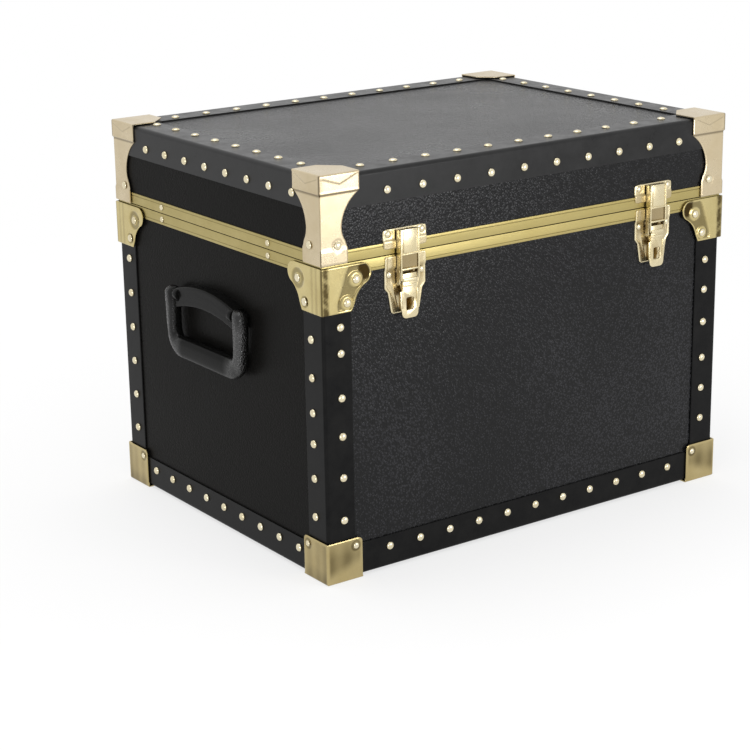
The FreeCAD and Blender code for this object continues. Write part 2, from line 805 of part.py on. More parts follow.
# Keeper: a plate on the lid with a shelf that the link's bar hooks over.
def latch_keeper():
    half, shelf = "sizes.keeper_width / 2", "sizes.keeper_shelf_width / 2"
    lift = "sizes.keeper_lift"
    end = f"{lift} + sizes.keeper_height"
    section = joggled("-", "places.lid_rim", "+", lift, end, "sizes.latch_sheet")
    plate = prism("YZ", section, minus(half), half)
    thick, top, reach = "sizes.latch_sheet", "places.shelf_top", "places.shelf_reach"
    ledge = front_points(
        [
            ("0", top),
            (reach, top),
            (reach, f"{top} - sizes.keeper_lip"),
            (f"{reach} - {thick}", f"{top} - sizes.keeper_lip"),
            (f"{reach} - {thick}", f"{top} - {thick}"),
            ("0", f"{top} - {thick}"),
        ]
    )
    return joined(plate, prism("YZ", ledge, minus(shelf), shelf))


# Lever: a tapered finger plate with a slot, on two cheeks that turn on the pin in the plate's ears.
def latch_lever():
    half, tip = "places.link_half", "sizes.lever_tip_width / 2"
    back, face = "places.lever_back", "places.lever_front"
    low, shoulder = "places.lever_tip_z", "places.lever_shoulder_z"
    thick = "sizes.latch_sheet"
    bend = f"{low} + sizes.lever_bend_rise"
    flick = "sizes.lever_tip_out"
    crown = "places.lever_pin_z + sizes.lever_cover_rise"
    offset, cheek_end = "places.cheek_offset", "places.cheek_end"
    finger = front_points(
        [
            (face, shoulder),
            (face, bend),
            (f"{face} + {flick}", low),
            (f"{back} + {flick}", low),
            (back, bend),
            (back, shoulder),
        ]
    )
    plan = [
        (minus(half), shoulder),
        (minus(half), f"{low} + sizes.lever_taper_rise"),
        (minus(tip), low),
        (tip, low),
        (half, f"{low} + sizes.lever_taper_rise"),
        (half, shoulder),
    ]
    blade = shared(
        prism("YZ", finger, minus(half), half),
        prism("XZ", plan, "-places.half_depth - sizes.link_out", "-places.case_y"),
    )
    strip = front_points([(face, shoulder), (back, shoulder), (back, crown), (face, crown)])
    cover = prism("YZ", strip, minus(cheek_end), cheek_end)
    eye_radius = "sizes.lever_eye"
    pin = ("sizes.lever_pin_out", "places.lever_pin_z")
    link_pin = ("places.link_pin_out", "places.link_pin_z")
    cheek = front_points(
        [
            (face, f"{shoulder} - {eye_radius}"),
            (face, pin[1]),
            (f"{pin[0]} - {eye_radius}", pin[1]),
            (f"{link_pin[0]} - {eye_radius}", link_pin[1]),
            (back, f"{shoulder} - {eye_radius}"),
        ]
    )
    cheeks = twin_plates(cheek, offset, thick)
    eyes = []
    for out, high in (pin, link_pin):
        end = rod("x", (f"-(places.case_y + {out})", high), eye_radius, offset, cheek_end)
        eyes += [end, mirrored(end, ACROSS_X)]
    hole = "sizes.latch_pin_radius + sizes.pin_clearance"
    bores = [eye(out, high, hole, half) for out, high in (pin, link_pin)]
    slot_half = "sizes.lever_slot_width / 2"
    slot_low = f"{low} + sizes.lever_slot_rise"
    slot = block(
        (minus(slot_half), "-places.half_depth - sizes.link_out", slot_low),
        (slot_half, "-places.case_y", f"{slot_low} + sizes.lever_slot_height"),
    )
    return less(joined(blade, cover, *cheeks, *eyes), *bores, slot)


# Link: side rails on the lever's second pin, a recessed panel, a head whose bar lies on the keeper's shelf.
def latch_link():
    half, thick = "places.link_half", "sizes.latch_sheet"
    pin_out, pin_z, radius = "places.link_pin_out", "places.link_pin_z", "sizes.lever_eye"
    out, top, back = "sizes.link_out", "places.link_top", "places.link_back"
    rail = front_points(
        [
            (f"{pin_out} - {radius}", pin_z),
            (f"{pin_out} + {radius}", pin_z),
            (out, f"{pin_z} + sizes.link_rail_taper"),
            (out, top),
            (back, top),
            (back, f"{pin_z} + sizes.link_rail_back_rise"),
        ]
    )
    rail_offset = f"{half} - {thick}"
    rails = twin_plates(rail, rail_offset, thick)
    end = rod("x", (f"-(places.case_y + {pin_out})", pin_z), radius, rail_offset, half)
    head_low = f"{top} - sizes.link_head_height"
    recess = f"{out} - sizes.link_recess"
    panel_low = f"{pin_z} + sizes.link_panel_rise"
    front = front_points(
        [
            (f"{recess} - {thick}", panel_low),
            (recess, panel_low),
            (recess, head_low),
            (out, head_low),
            (out, top),
            (f"{out} - sizes.link_bar_reach", top),
            (f"{out} - sizes.link_bar_reach", f"{top} - {thick}"),
            (f"{out} - {thick}", f"{top} - {thick}"),
            (f"{out} - {thick}", f"{head_low} + {thick}"),
            (f"{recess} - {thick}", f"{head_low} + {thick}"),
        ]
    )
    bore = eye(pin_out, pin_z, "sizes.latch_pin_radius + sizes.pin_clearance", half)
    shell = prism("YZ", front, minus(half), half)
    return less(joined(*rails, end, mirrored(end, ACROSS_X), shell), bore)


def make_latches():
    cheek_reach = "places.cheek_end + sizes.pin_overhang"
    lever_pin = eye("sizes.lever_pin_out", "places.lever_pin_z", "sizes.latch_pin_radius", cheek_reach)
    link_pin = eye("places.link_pin_out", "places.link_pin_z", "sizes.latch_pin_radius", "places.link_half")
    pieces = {
        "plate": latch_plate(),
        "keeper": latch_keeper(),
        "lever": latch_lever(),
        "link": latch_link(),
        "link_pin": link_pin,
    }
    sides = {"left": "-places.latch_x", "right": "places.latch_x"}
    for side, across in sides.items():
        for name, piece in pieces.items():
            node(f"latch_{side}_{name}", moved(piece, across))
    node("latch_lever_pins", grouped(*[moved(lever_pin, across) for across in sides.values()]))


# Stop hinges: joggled leaves with three knuckles on the seam, the middle one on the lid.
def hinge_leaf(rim, way, own, other):
    """One leaf: own and other are the spans along X of its knuckles and of the other leaf's."""
    half = "sizes.hinge_width / 2"
    section = joggled("", rim, way, "0", "sizes.hinge_reach", "sizes.hinge_sheet")
    leaf = prism("YZ", section, minus(half), half)
    axis = ("places.hinge_y", "places.seam")
    radius = "sizes.hinge_barrel"
    room = f"{radius} + sizes.hinge_play"
    notches = [rod("x", axis, room, start, end) for start, end in other]
    knuckles = [rod("x", axis, radius, start, end) for start, end in own]
    bore = rod("x", axis, "sizes.hinge_pin_radius + sizes.pin_clearance", minus(half), half)
    return less(joined(less(leaf, *notches), *knuckles), bore)


def make_hinges():
    half, middle, play = "sizes.hinge_width / 2", "places.hinge_middle_half", "sizes.hinge_play"
    middle_span = [(minus(middle), middle)]
    end_spans = [(minus(half), f"-{middle} - {play}"), (f"{middle} + {play}", half)]
    middle_room = [(f"-{middle} - {play}", f"{middle} + {play}")]
    end_rooms = [(f"-{half} - {play}", minus(middle)), (middle, f"{half} + {play}")]
    lid_leaf = hinge_leaf("places.lid_rim", "+", middle_span, end_rooms)
    base_leaf = hinge_leaf("places.base_rim", "-", end_spans, middle_room)
    pin = rod("x", ("places.hinge_y", "places.seam"), "sizes.hinge_pin_radius", minus(half), half)
    sides = {"left": "-places.hinge_x", "right": "places.hinge_x"}
    for side, across in sides.items():
        node(f"hinge_{side}_lid_leaf", moved(lid_leaf, across))
        node(f"hinge_{side}_base_leaf", moved(base_leaf, across))
    node("hinge_pins", grouped(*[moved(pin, across) for across in sides.values()]))


# Bail handles: an arched housing with two ears, a moulded grip that hangs from pins in them.
def handle_plate():
    half, low = "places.handle_plate_half", "places.handle_plate_low"
    end = f"{low} + sizes.handle_plate_end_height"
    bulge = "(sizes.handle_plate_arch / sizes.handle_plate_length)"
    face = "-places.case_x"
    board = prism(
        "YZ",
        [(minus(half), low, bulge, "hollow"), (half, low), (half, end, bulge, "round"), (minus(half), end)],
        f"{face} - sizes.handle_plate_thickness",
        face,
    )
    pivot_x, pivot_z = "-places.handle_pivot_x", "places.handle_pivot_z"
    ear_start, radius = f"{half} - sizes.handle_ear_width", "sizes.handle_ear_radius"
    ear = prism(
        "XZ",
        [
            (face, low),
            (face, f"{pivot_z} + {radius}"),
            (pivot_x, f"{pivot_z} + {radius}"),
            (f"{pivot_x} - {radius}", pivot_z),
            (f"{pivot_x} - {radius} / 2", f"{pivot_z} - {radius}"),
        ],
        ear_start,
        half,
    )
    knob = rod("y", (pivot_x, pivot_z), radius, ear_start, half)
    hole = "sizes.handle_pin_radius + sizes.pin_clearance"
    bore = rod("y", (pivot_x, pivot_z), hole, ear_start, half)
    whole = joined(board, ear, knob, mirrored(ear, ACROSS_Y), mirrored(knob, ACROSS_Y))
    return less(whole, bore, mirrored(bore, ACROSS_Y))


def handle_grip():
    top, low = "places.grip_top", "places.grip_bottom"
    outer_x, inner_x = "-places.grip_outer_x", "-places.grip_inner_x"
    bar_top = f"{low} + sizes.grip_bar_height"
    wide, foot = "places.grip_half", "places.grip_foot_half"
    gap, inner_foot = "places.grip_gap_half", "places.grip_inner_foot"
    loop = prism(
        "YZ",
        [
            (minus(wide), top),
            (minus(foot), low),
            (foot, low),
            (wide, top),
            (gap, top),
            (inner_foot, bar_top),
            (minus(inner_foot), bar_top),
            (minus(gap), top),
        ],
        outer_x,
        inner_x,
    )
    high_z = number(top)
    deep = number("sizes.grip_depth")
    close = number("sizes.handle_play")

    def bends(across, high):
        """A test for the two edges through the loop's depth at one height."""
        y, z = number(across), number(high)

        def wanted(middle, length):
            through = abs(length - deep) < close
            return through and abs(middle.z - z) < close and abs(abs(middle.y) - y) < close

        return wanted

    outer = rounded(loop, "sizes.grip_corner", bends(foot, low))
    bent = rounded(outer, "sizes.grip_inner_corner", bends(inner_foot, bar_top))
    side_planes = number(outer_x), number(inner_x)

    def long_edges(middle, length):
        on_side = min(abs(middle.x - plane) for plane in side_planes) < close
        return on_side and abs(middle.z - high_z) > close

    soft = rounded(bent, "sizes.grip_round", long_edges)
    pivot = ("-places.handle_pivot_x", "places.handle_pivot_z")
    crown = [
        (outer_x, f"{low} - sizes.overrun"),
        (outer_x, pivot[1]),
        (inner_x, pivot[1]),
        (inner_x, f"{low} - sizes.overrun"),
    ]
    barrel = rod("y", pivot, "sizes.grip_depth / 2", minus(wide), wide)
    side = joined(prism("XZ", crown, minus(wide), wide), barrel)
    depth = f"{gap} + sizes.handle_pin_grip + sizes.handle_play"
    bore = rod("y", pivot, "sizes.handle_pin_radius + sizes.pin_clearance", minus(depth), depth)
    return less(shared(soft, side), bore)


def make_handles():
    start = "places.handle_plate_half - sizes.handle_ear_width"
    end = "places.grip_gap_half + sizes.handle_pin_grip"
    pivot = ("-places.handle_pivot_x", "places.handle_pivot_z")
    pin = rod("y", pivot, "sizes.handle_pin_radius", start, end)
    back = "sizes.handle_offset"
    for name, piece in (("plate", handle_plate()), ("grip", handle_grip())):
        left = node(f"handle_left_{name}", moved(piece, back, "y"))
        node(f"handle_right_{name}", mirrored(left, ACROSS_X))
    pins = moved(grouped(pin, mirrored(pin, ACROSS_Y)), back, "y")
    node("handle_pins", grouped(pins, mirrored(pins, ACROSS_X)))


# Dome nails and rivets: eight-sided heads, seated on what they fasten.
def head(kind):
    """A head standing on the XY plane."""
    rings = []
    for radius, high in (("radius", 0), ("crown_radius", number(f"sizes.{kind}_height"))):
        around = number(f"sizes.{kind}_{radius}")
        turns = [2 * math.pi * (i + 0.5) / HEAD_SIDES for i in range(HEAD_SIDES + 1)]
        ring = [Vector(around * math.cos(a), around * math.sin(a), high) for a in turns]
        rings.append(Part.makePolygon(ring))
    return Part.makeLoft(rings, True, True)


def heads_on(kind, spots):
    """Copies of a head at each spot: (place, direction that it faces)."""
    pattern = head(kind)
    copies = []
    for place, facing in spots:
        copy = pattern.copy()
        copy.Placement = FreeCAD.Placement(place, FreeCAD.Rotation(Vector(0, 0, 1), facing))
        copies.append(copy)
    return copies


def both(spots, axis):
    """The spots and their mirror images across a middle plane."""
    other = []
    for place, facing in spots:
        copy, turned = Vector(place), Vector(facing)
        setattr(copy, axis, -getattr(copy, axis))
        setattr(turned, axis, -getattr(turned, axis))
        other.append((copy, turned))
    return spots + other


def row(name, count, low, high):
    """Even steps from a row's first nail to its last, between the two ends that they are measured from."""
    start = low + number(f"sizes.{name}_nail_first")
    end = high - number(f"sizes.{name}_nail_last")
    return [start + (end - start) * i / (count - 1) for i in range(count)]


def place_nails():
    right, rear = number("places.half_width"), number("places.half_depth")
    left, front = -right, -rear
    wall_x, wall_y = number("-places.bound_x"), number("-places.bound_y")
    to_front, to_left, up = Vector(0, -1, 0), Vector(-1, 0, 0), Vector(0, 0, 1)
    low = number("sizes.base_nail_height")
    high = number("sizes.trunk_height - sizes.lid_nail_drop")
    roof = number("places.bound_top")
    inset = number("sizes.post_nail_inset")
    rim = number("sizes.top_nail_inset")
    base_front_row = row("base_front", BASE_FRONT_NAIL_COUNT, left, right)
    base_side_row = row("base_side", BASE_SIDE_NAIL_COUNT, front, rear)
    heights = row("post", POST_NAIL_COUNT, 0, number("places.base_rim"))
    lid_front_row = row("lid_front", LID_FRONT_NAIL_COUNT, left, right)
    lid_side_row = row("lid_side", LID_SIDE_NAIL_COUNT, front, rear)
    top_front_row = row("top_front", TOP_FRONT_NAIL_COUNT, left, right)
    top_side_row = row("top_side", TOP_SIDE_NAIL_COUNT, front, rear)
    base_front = [(Vector(x, wall_y, low), to_front) for x in base_front_row]
    base_side = [(Vector(wall_x, y, low), to_left) for y in base_side_row]
    post = [(Vector(left + inset, wall_y, z), to_front) for z in heights]
    post += [(Vector(wall_x, front + inset, z), to_left) for z in heights]
    lid_front = [(Vector(x, wall_y, high), to_front) for x in lid_front_row]
    lid_side = [(Vector(wall_x, y, high), to_left) for y in lid_side_row]
    top_front = [(Vector(x, front + rim, roof), up) for x in top_front_row]
    top_side = [(Vector(left + rim, y, roof), up) for y in top_side_row]
    base = both(base_front, "y") + both(base_side, "x") + both(both(post, "x"), "y")
    lid = both(lid_front + top_front, "y") + both(lid_side + top_side, "x")
    return base, lid


def wing_spots(inward, high, out):
    """Spots on both wings of the front left corner."""
    left, front = number("-places.half_width"), number("-places.half_depth")
    along, up, stand = number(inward), number(high), number(out)
    front_spot = (Vector(left + along, -number("places.case_y") - stand, up), Vector(0, -1, 0))
    left_spot = (Vector(-number("places.case_x") - stand, front + along, up), Vector(-1, 0, 0))
    return both(both([front_spot, left_spot], "x"), "y")


def plate_spots(centre, offset, high, out, facing):
    """Two spots on each of two plates, on either side of a plate's middle."""
    spots = []
    for middle in (-number(centre), number(centre)):
        for side in (-1, 1):
            across = middle + side * number(offset)
            place = Vector(across, facing * (number("places.case_y") + number(out)), number(high))
            spots.append((place, Vector(0, facing, 0)))
    return spots


def place_rivets():
    proud = "places.corner_seat + sizes.corner_thickness"
    ankle = "places.lid_rim + sizes.lid_corner_rivet_rise"
    lid = wing_spots("sizes.lid_corner_rivet_in", ankle, "places.lid_leg_out")
    upper = "places.base_corner_top - sizes.base_corner_upper_rivet_drop"
    lower = "places.base_corner_low + sizes.base_corner_lower_rivet_rise"
    base = wing_spots("sizes.base_corner_upper_rivet_in", upper, proud)
    base += wing_spots("sizes.base_corner_lower_rivet_in", lower, proud)
    inset = "sizes.bottom_cap_rivet_inset"
    base += wing_spots(f"sizes.bottom_cap_width - {inset}", f"sizes.bottom_cap_height - {inset}", proud)
    sheet_out, latch = "sizes.latch_sheet", "places.latch_x"
    tab = "sizes.keeper_width / 2 - sizes.keeper_rivet_inset"
    lid += plate_spots(latch, tab, "places.keeper_top - sizes.keeper_rivet_drop", sheet_out, -1)
    wing = "sizes.latch_plate_width / 2 - sizes.latch_plate_rivet_inset"
    base += plate_spots(latch, wing, "places.base_rim - sizes.latch_plate_rivet_drop", sheet_out, -1)
    leaf_out, hinge = "sizes.hinge_sheet", "places.hinge_x"
    leaf = "sizes.hinge_width / 2 - sizes.hinge_rivet_inset"
    lid += plate_spots(hinge, leaf, "places.lid_rim + sizes.hinge_rivet_rise", leaf_out, 1)
    base += plate_spots(hinge, leaf, "places.base_rim - sizes.hinge_rivet_rise", leaf_out, 1)
    side = -number("places.valance_x")
    along = number("sizes.valance_rivet_offset")
    lid_strip = number("places.lid_rim + sizes.valance_height / 2")
    base_strip = number("places.base_rim - sizes.valance_height / 2")
    for spots, high in ((lid, lid_strip), (base, base_strip)):
        spots += both(both([(Vector(side, -along, high), Vector(-1, 0, 0))], "x"), "y")
    return base, lid


def make_heads():
    for kind, (base, lid) in (("nail", place_nails()), ("rivet", place_rivets())):
        for part, spots in (("base", base), ("lid", lid)):
            feature = doc.addObject("Part::Feature", f"{part}_{kind}s")
            feature.Shape = Part.makeCompound(heads_on(kind, spots))
            node(f"{part}_{kind}s", feature)


def check_and_write():
    """Stop on any failed object or bad shape, then write each piece to its own file."""
    doc.recompute()
    for made in doc.Objects:
        if {"Invalid", "Error"} & set(made.State):
            raise RuntimeError(f"{made.Name} ({made.Label}) failed: {made.State}")
    for label, made in nodes.items():
        if made.Shape.isNull() or not made.Shape.isValid() or not made.Shape.Solids:
            raise RuntimeError(f"{label} has no valid solid")
    os.makedirs("parts", exist_ok=True)
    for label, made in nodes.items():
        made.Shape.exportStep(os.path.join("parts", f"{label}.step"))
    print(len(nodes), "pieces written")


make_panels()
make_linings()
make_bindings()
make_valances()
make_lid_corners()
make_base_corners()
make_bottom_corners()
make_latches()
make_hinges()
make_handles()
make_heads()
check_and_write()
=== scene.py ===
import json
import math
import random

import bmesh
import bpy
import numpy as np
from mathutils import Matrix, Vector

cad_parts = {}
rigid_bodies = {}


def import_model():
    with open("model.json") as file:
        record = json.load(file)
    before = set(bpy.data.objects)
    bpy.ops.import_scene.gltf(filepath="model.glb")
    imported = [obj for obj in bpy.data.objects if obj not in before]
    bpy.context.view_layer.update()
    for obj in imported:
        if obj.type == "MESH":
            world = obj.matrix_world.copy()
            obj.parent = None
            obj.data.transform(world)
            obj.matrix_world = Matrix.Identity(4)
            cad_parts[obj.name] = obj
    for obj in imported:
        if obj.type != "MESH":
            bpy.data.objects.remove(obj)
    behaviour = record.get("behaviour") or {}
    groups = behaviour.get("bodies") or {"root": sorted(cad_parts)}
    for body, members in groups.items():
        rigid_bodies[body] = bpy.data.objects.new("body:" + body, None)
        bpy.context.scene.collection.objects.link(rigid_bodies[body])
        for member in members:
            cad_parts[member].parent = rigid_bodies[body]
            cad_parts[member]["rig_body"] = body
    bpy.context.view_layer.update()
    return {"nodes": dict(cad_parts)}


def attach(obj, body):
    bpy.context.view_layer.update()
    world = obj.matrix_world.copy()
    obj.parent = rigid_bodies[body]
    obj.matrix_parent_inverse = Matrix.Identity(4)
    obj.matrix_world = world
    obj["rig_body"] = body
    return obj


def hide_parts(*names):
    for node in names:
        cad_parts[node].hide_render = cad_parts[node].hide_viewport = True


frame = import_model()
scene = bpy.context.scene
scene.view_settings.view_transform = "Standard"

# Sizes in millimetres, as in the solids. The front faces -y, and heights are above the floor.
MM = 0.001
HALF_W, HALF_D, HIGH = 233.425, 177.8, 365.25  # over the brass corners
CASE_X, CASE_Y = 229.825, 174.2  # the boards' outer faces
BRASS_OUT = 3.6  # from the boards to the corners' outer planes
STRIP_THICK, STRIP_ROUND = 1.5, 2.0  # the bindings, and the radius of their outer edge
BASE_RIM, LID_RIM = 286.7, 287.3
LATCH_X = 144.3
HANDLE_Y, PIVOT_OUT, PIVOT_Z = 4.2, 9.2, 218.5

SIDES = ("front", "rear", "left", "right")
PAIR = (("left", -1), ("right", 1))
# Signs that mirror the front left corner to each of the four.
CORNERS = {"front_left": (1, 1), "front_right": (-1, 1), "rear_left": (1, -1), "rear_right": (-1, -1)}

WELD = 2e-6  # metres between points that are one
FLAT = math.radians(2)  # facets that meet at less become one face
WHITE = (1, 1, 1, 1)

dice = random.Random(7)


def ease(low, high, value):
    """0 below low, 1 above high, and a smooth rise between them."""
    t = min(1.0, max(0.0, (value - low) / (high - low)))
    return t * t * (3 - 2 * t)


def fade(low, high, value):  # 1 below low, 0 above high
    return 1 - ease(low, high, value)


def band(value, rise, fall):
    """1 between a rise and a fall, each given as (start, end), and 0 outside them."""
    return ease(*rise, value) * fade(*fall, value)


def turn_in(amount, reach, distance):
    """How far a sheet's edge turns in at a distance from it."""
    return amount * fade(0.0, reach, distance)


def mix(a, b, t):
    return a + (b - a) * t


def quarter(count):  # angles of a quarter turn
    return [math.pi / 2 * k / count for k in range(count + 1)]


def whole(count):  # angles of a whole turn
    return [2 * math.pi * k / count for k in range(count)]


# Materials

def add_node(tree, kind, inputs=None, **settings):
    made = tree.nodes.new(kind)
    for key, value in settings.items():
        setattr(made, key, value)
    for key, value in (inputs or {}).items():
        if isinstance(value, bpy.types.NodeSocket):
            tree.links.new(value, made.inputs[key])
        else:
            made.inputs[key].default_value = value
    return made


def spread(tree, value, given, wanted, **settings):
    """Maps one (low, high) range to another."""
    inputs = {"Value": value, "From Min": given[0], "From Max": given[1], "To Min": wanted[0], "To Max": wanted[1]}
    return add_node(tree, "ShaderNodeMapRange", inputs, **settings).outputs["Result"]


class Look:
    """A procedural material on a Principled shader, with its texture space in metres."""

    def __init__(self, name, color, roughness, metallic=0.0, gloss=0.5):
        self.material = bpy.data.materials.new(name)
        self.material.use_nodes = True
        self.tree = self.material.node_tree
        self.shader = self.tree.nodes["Principled BSDF"]
        plain = {"Base Color": (*color, 1), "Roughness": roughness, "Metallic": metallic, "Specular IOR Level": gloss}
        for socket, value in plain.items():
            self.shader.inputs[socket].default_value = value
        self.space = self.add("ShaderNodeTexCoord").outputs["Object"]
        self.relief = None

    def add(self, kind, inputs=None, **settings):
        return add_node(self.tree, kind, inputs, **settings)

    def stretched(self, scale):
        return self.add("ShaderNodeMapping", {"Vector": self.space, "Scale": scale}).outputs["Vector"]

    def noise(self, scale, detail=2.0, space=None, roughness=0.5, output="Fac"):
        inputs = {"Vector": space or self.space, "Scale": scale, "Detail": detail, "Roughness": roughness}
        return self.add("ShaderNodeTexNoise", inputs).outputs[output]

    def cells(self, scale, space=None):
        return self.add("ShaderNodeTexVoronoi", {"Vector": space or self.space, "Scale": scale}).outputs["Distance"]

    def spread(self, value, given, wanted):
        return spread(self.tree, value, given, wanted)

    def blend(self, factor, a, b):
        colors = [c if isinstance(c, bpy.types.NodeSocket) else (*c, 1) for c in (a, b)]
        return self.add("ShaderNodeMix", {0: factor, 6: colors[0], 7: colors[1]}, data_type="RGBA").outputs[2]

    def math(self, operation, a, b, kind="ShaderNodeMath"):
        return self.add(kind, {0: a, 1: b}, operation=operation).outputs[0]

    def vector(self, operation, a, b):
        return self.math(operation, a, b, "ShaderNodeVectorMath")

    def attribute(self, name):
        return self.add("ShaderNodeAttribute", attribute_name=name).outputs["Fac"]

    def bump(self, height, strength, distance):
        inputs = {"Height": height, "Strength": strength, "Distance": distance}
        if self.relief is not None:
            inputs["Normal"] = self.relief
        self.relief = self.add("ShaderNodeBump", inputs).outputs["Normal"]
        self.drive("Normal", self.relief)

    def drive(self, socket, value):
        self.tree.links.new(value, self.shader.inputs[socket])


def vinyl_look(name, light, dark, gloss, relief, grain, rough=0.25):
    """Black vinyl cloth with a pebbled leather grain, its crowns painted lighter than its valleys as painted
    highlights and shade, more so in some patches.
    """
    look = Look(name, light, 0.4, gloss=gloss)
    wander = (0.0022,) * 3  # metres by which the pebbles' outlines wander
    offset = look.vector("MULTIPLY", look.noise(240.0, 1.0, output="Color"), wander)
    pebbles = look.cells(grain, look.vector("ADD", look.space, offset))
    look.bump(look.spread(pebbles, (0.05, 0.75), (1.0, 0.0)), 0.9, relief)
    look.bump(look.noise(1900.0), 0.25, 0.00012)
    painted_sparkle = look.spread(look.noise(5.0), (0.35, 0.65), (0.3, 0.62))
    crowns = look.spread(pebbles, (0.1, painted_sparkle), (0.0, 1.0))
    look.drive("Base Color", look.blend(crowns, light, dark))
    look.drive("Roughness", look.spread(look.noise(9.0, 3.0), (0.3, 0.7), (rough, rough + 0.08)))
    return look.material


def binding_look(name, light, dark, gloss):
    """Smooth black fibre strip, a little uneven, duller where it is rubbed."""
    look = Look(name, light, 0.34, gloss=gloss)
    rub = look.noise(60.0, 5.0, roughness=0.7)
    look.bump(look.noise(45.0), 0.12, 0.0009)
    look.bump(look.noise(900.0, 3.0), 0.16, 0.00012)
    look.drive("Base Color", look.blend(look.spread(rub, (0.35, 0.75), (0.0, 1.0)), dark, light))
    look.drive("Roughness", look.spread(rub, (0.3, 0.75), (0.26, 0.42)))
    return look.material


def brass_look(name, color, shade, roughness, swing=0.04, grain=(1, 1, 1), painted_shade_share=1.0, deep=(0.12, 0.10, 0.08)):
    """Plated brass: soft stains, rubbing lines along grain, and painted shade and painted reflections, blended towards
    a deep share of the shade colour where the hollow number says.
    """
    look = Look(name, color, roughness, metallic=1.0)
    stain = look.noise(38.0, 4.0, roughness=0.6)
    lines = look.noise(420.0, 3.0, look.stretched(grain))
    tone = look.blend(look.spread(stain, (0.35, 0.75), (0.0, 0.55)), color, shade)
    hollow = look.spread(look.attribute("hollow"), (0.0, 1.0), (0.0, painted_shade_share))
    look.drive("Base Color", look.blend(hollow, tone, [s * d for s, d in zip(shade, deep)]))
    stained = look.spread(stain, (0.3, 0.75), (-swing, swing))
    rubbed = look.spread(lines, (0.3, 0.7), (-swing, swing))
    look.drive("Roughness", look.math("ADD", look.math("ADD", stained, rubbed), roughness))
    look.bump(look.noise(70.0), 0.10, 0.0006)
    look.bump(lines, 0.05, 0.00005)
    return look.material


def steel_look():
    """Turned pins, bright and dull in fine bands."""
    look = Look("steel", (0.55, 0.54, 0.52), 0.3, metallic=1.0)
    turned = look.noise(900.0, space=look.stretched((6, 1, 1)))
    look.drive("Roughness", look.spread(turned, (0.3, 0.7), (0.24, 0.4)))
    look.drive("Base Color", look.blend(turned, (0.58, 0.57, 0.55), (0.42, 0.41, 0.4)))
    return look.material


def handle_look():
    """Black moulded plastic with a leather grain that fades on the rubbed faces."""
    look = Look("handle", (0.005, 0.005, 0.005), 0.3, gloss=0.12)
    bend = look.noise(300.0)
    where = look.attribute("grain")
    pebbles = look.spread(look.cells(620.0), (0.1, 0.7), (1.0, 0.0))
    look.bump(look.math("MULTIPLY", pebbles, where), 0.8, 0.0006)
    look.bump(bend, 0.06, 0.0004)
    smooth = look.spread(bend, (0.3, 0.7), (0.17, 0.23))
    look.drive("Roughness", look.math("ADD", smooth, look.spread(where, (0.0, 1.0), (0.0, 0.02))))
    look.drive("Base Color", look.blend(look.noise(25.0, 3.0), (0.003, 0.003, 0.003), (0.0065, 0.0065, 0.006)))
    look.drive("Specular IOR Level", look.spread(where, (0.1, 1.0), (0.06, 0.8)))
    return look.material


def paper_look():
    """Lining paper: warm grey with pulp and faint blotches, no pattern."""
    look = Look("lining", (0.33, 0.29, 0.235), 0.85, gloss=0.2)
    pulp = look.noise(260.0, 5.0, roughness=0.7)
    blotch = look.spread(look.noise(14.0, 3.0), (0.3, 0.7), (0.0, 1.0))
    base = look.blend(blotch, (0.36, 0.32, 0.26), (0.29, 0.255, 0.2))
    look.drive("Base Color", look.blend(look.spread(pulp, (0.4, 0.8), (0.0, 0.5)), base, (0.22, 0.19, 0.15)))
    look.bump(pulp, 0.3, 0.0002)
    return look.material


VINYL = vinyl_look(
    "vinyl", (0.025, 0.025, 0.0285), (0.003, 0.003, 0.0034), gloss=0.215, relief=0.00024, grain=480.0, rough=0.18
)
# A lighter copy of the vinyl for the top boards: painted light.
VINYL_TOP_PAINTED_LIGHT = vinyl_look(
    "vinyl_top_painted_light", (0.02, 0.02, 0.0205), (0.0115, 0.0115, 0.012), gloss=0.22, relief=0.0004, grain=560.0
)
# A darker, duller copy of the vinyl for the end boards: painted shade.
VINYL_END_PAINTED_SHADE = vinyl_look(
    "vinyl_end_painted_shade", (0.0085, 0.008, 0.0072), (0.006, 0.0057, 0.0052), gloss=0.03, relief=0.00012, grain=600.0
)
BINDING = binding_look("binding", (0.008, 0.0078, 0.0075), (0.0035, 0.0035, 0.0037), gloss=0.1)
# A lighter, glossier copy of the binding for the lid: painted light.
BINDING_LID_PAINTED_LIGHT = binding_look("binding_lid_painted_light", (0.018, 0.018, 0.0182), (0.011, 0.011, 0.0112), gloss=0.2)
STEEL, HANDLE, LINING = steel_look(), handle_look(), paper_look()
BRASS = brass_look("brass", (0.60, 0.505, 0.245), (0.42, 0.325, 0.125), 0.2)
CAP = brass_look("brass_cap", (0.49, 0.4, 0.2), (0.37, 0.285, 0.12), 0.19)
LATCH = brass_look("brass_latch", (0.72, 0.635, 0.42), (0.5, 0.4, 0.19), 0.28, deep=(0.34, 0.25, 0.12))
TRIM = brass_look("brass_trim", (0.43, 0.355, 0.145), (0.36, 0.29, 0.105), 0.36, grain=(0.05, 0.05, 1.6))
SATIN = brass_look("brass_satin", (0.62, 0.525, 0.36), (0.5, 0.4, 0.235), 0.31)
NAIL = brass_look("brass_nail", (0.78, 0.71, 0.52), (0.55, 0.45, 0.24), 0.22, swing=0.05, painted_shade_share=0.9)


# Mesh code

def new_mesh(tint):
    """An empty mesh with a number on each point that its material reads: hollow, which paints shade and reflections on
    brass, or grain on the handles.
    """
    bm = bmesh.new()
    return bm, bm.verts.layers.float.new(tint)


def welded(node):
    bm = bmesh.new()
    bm.from_mesh(node.data)
    bmesh.ops.remove_doubles(bm, verts=bm.verts, dist=WELD)
    return bm


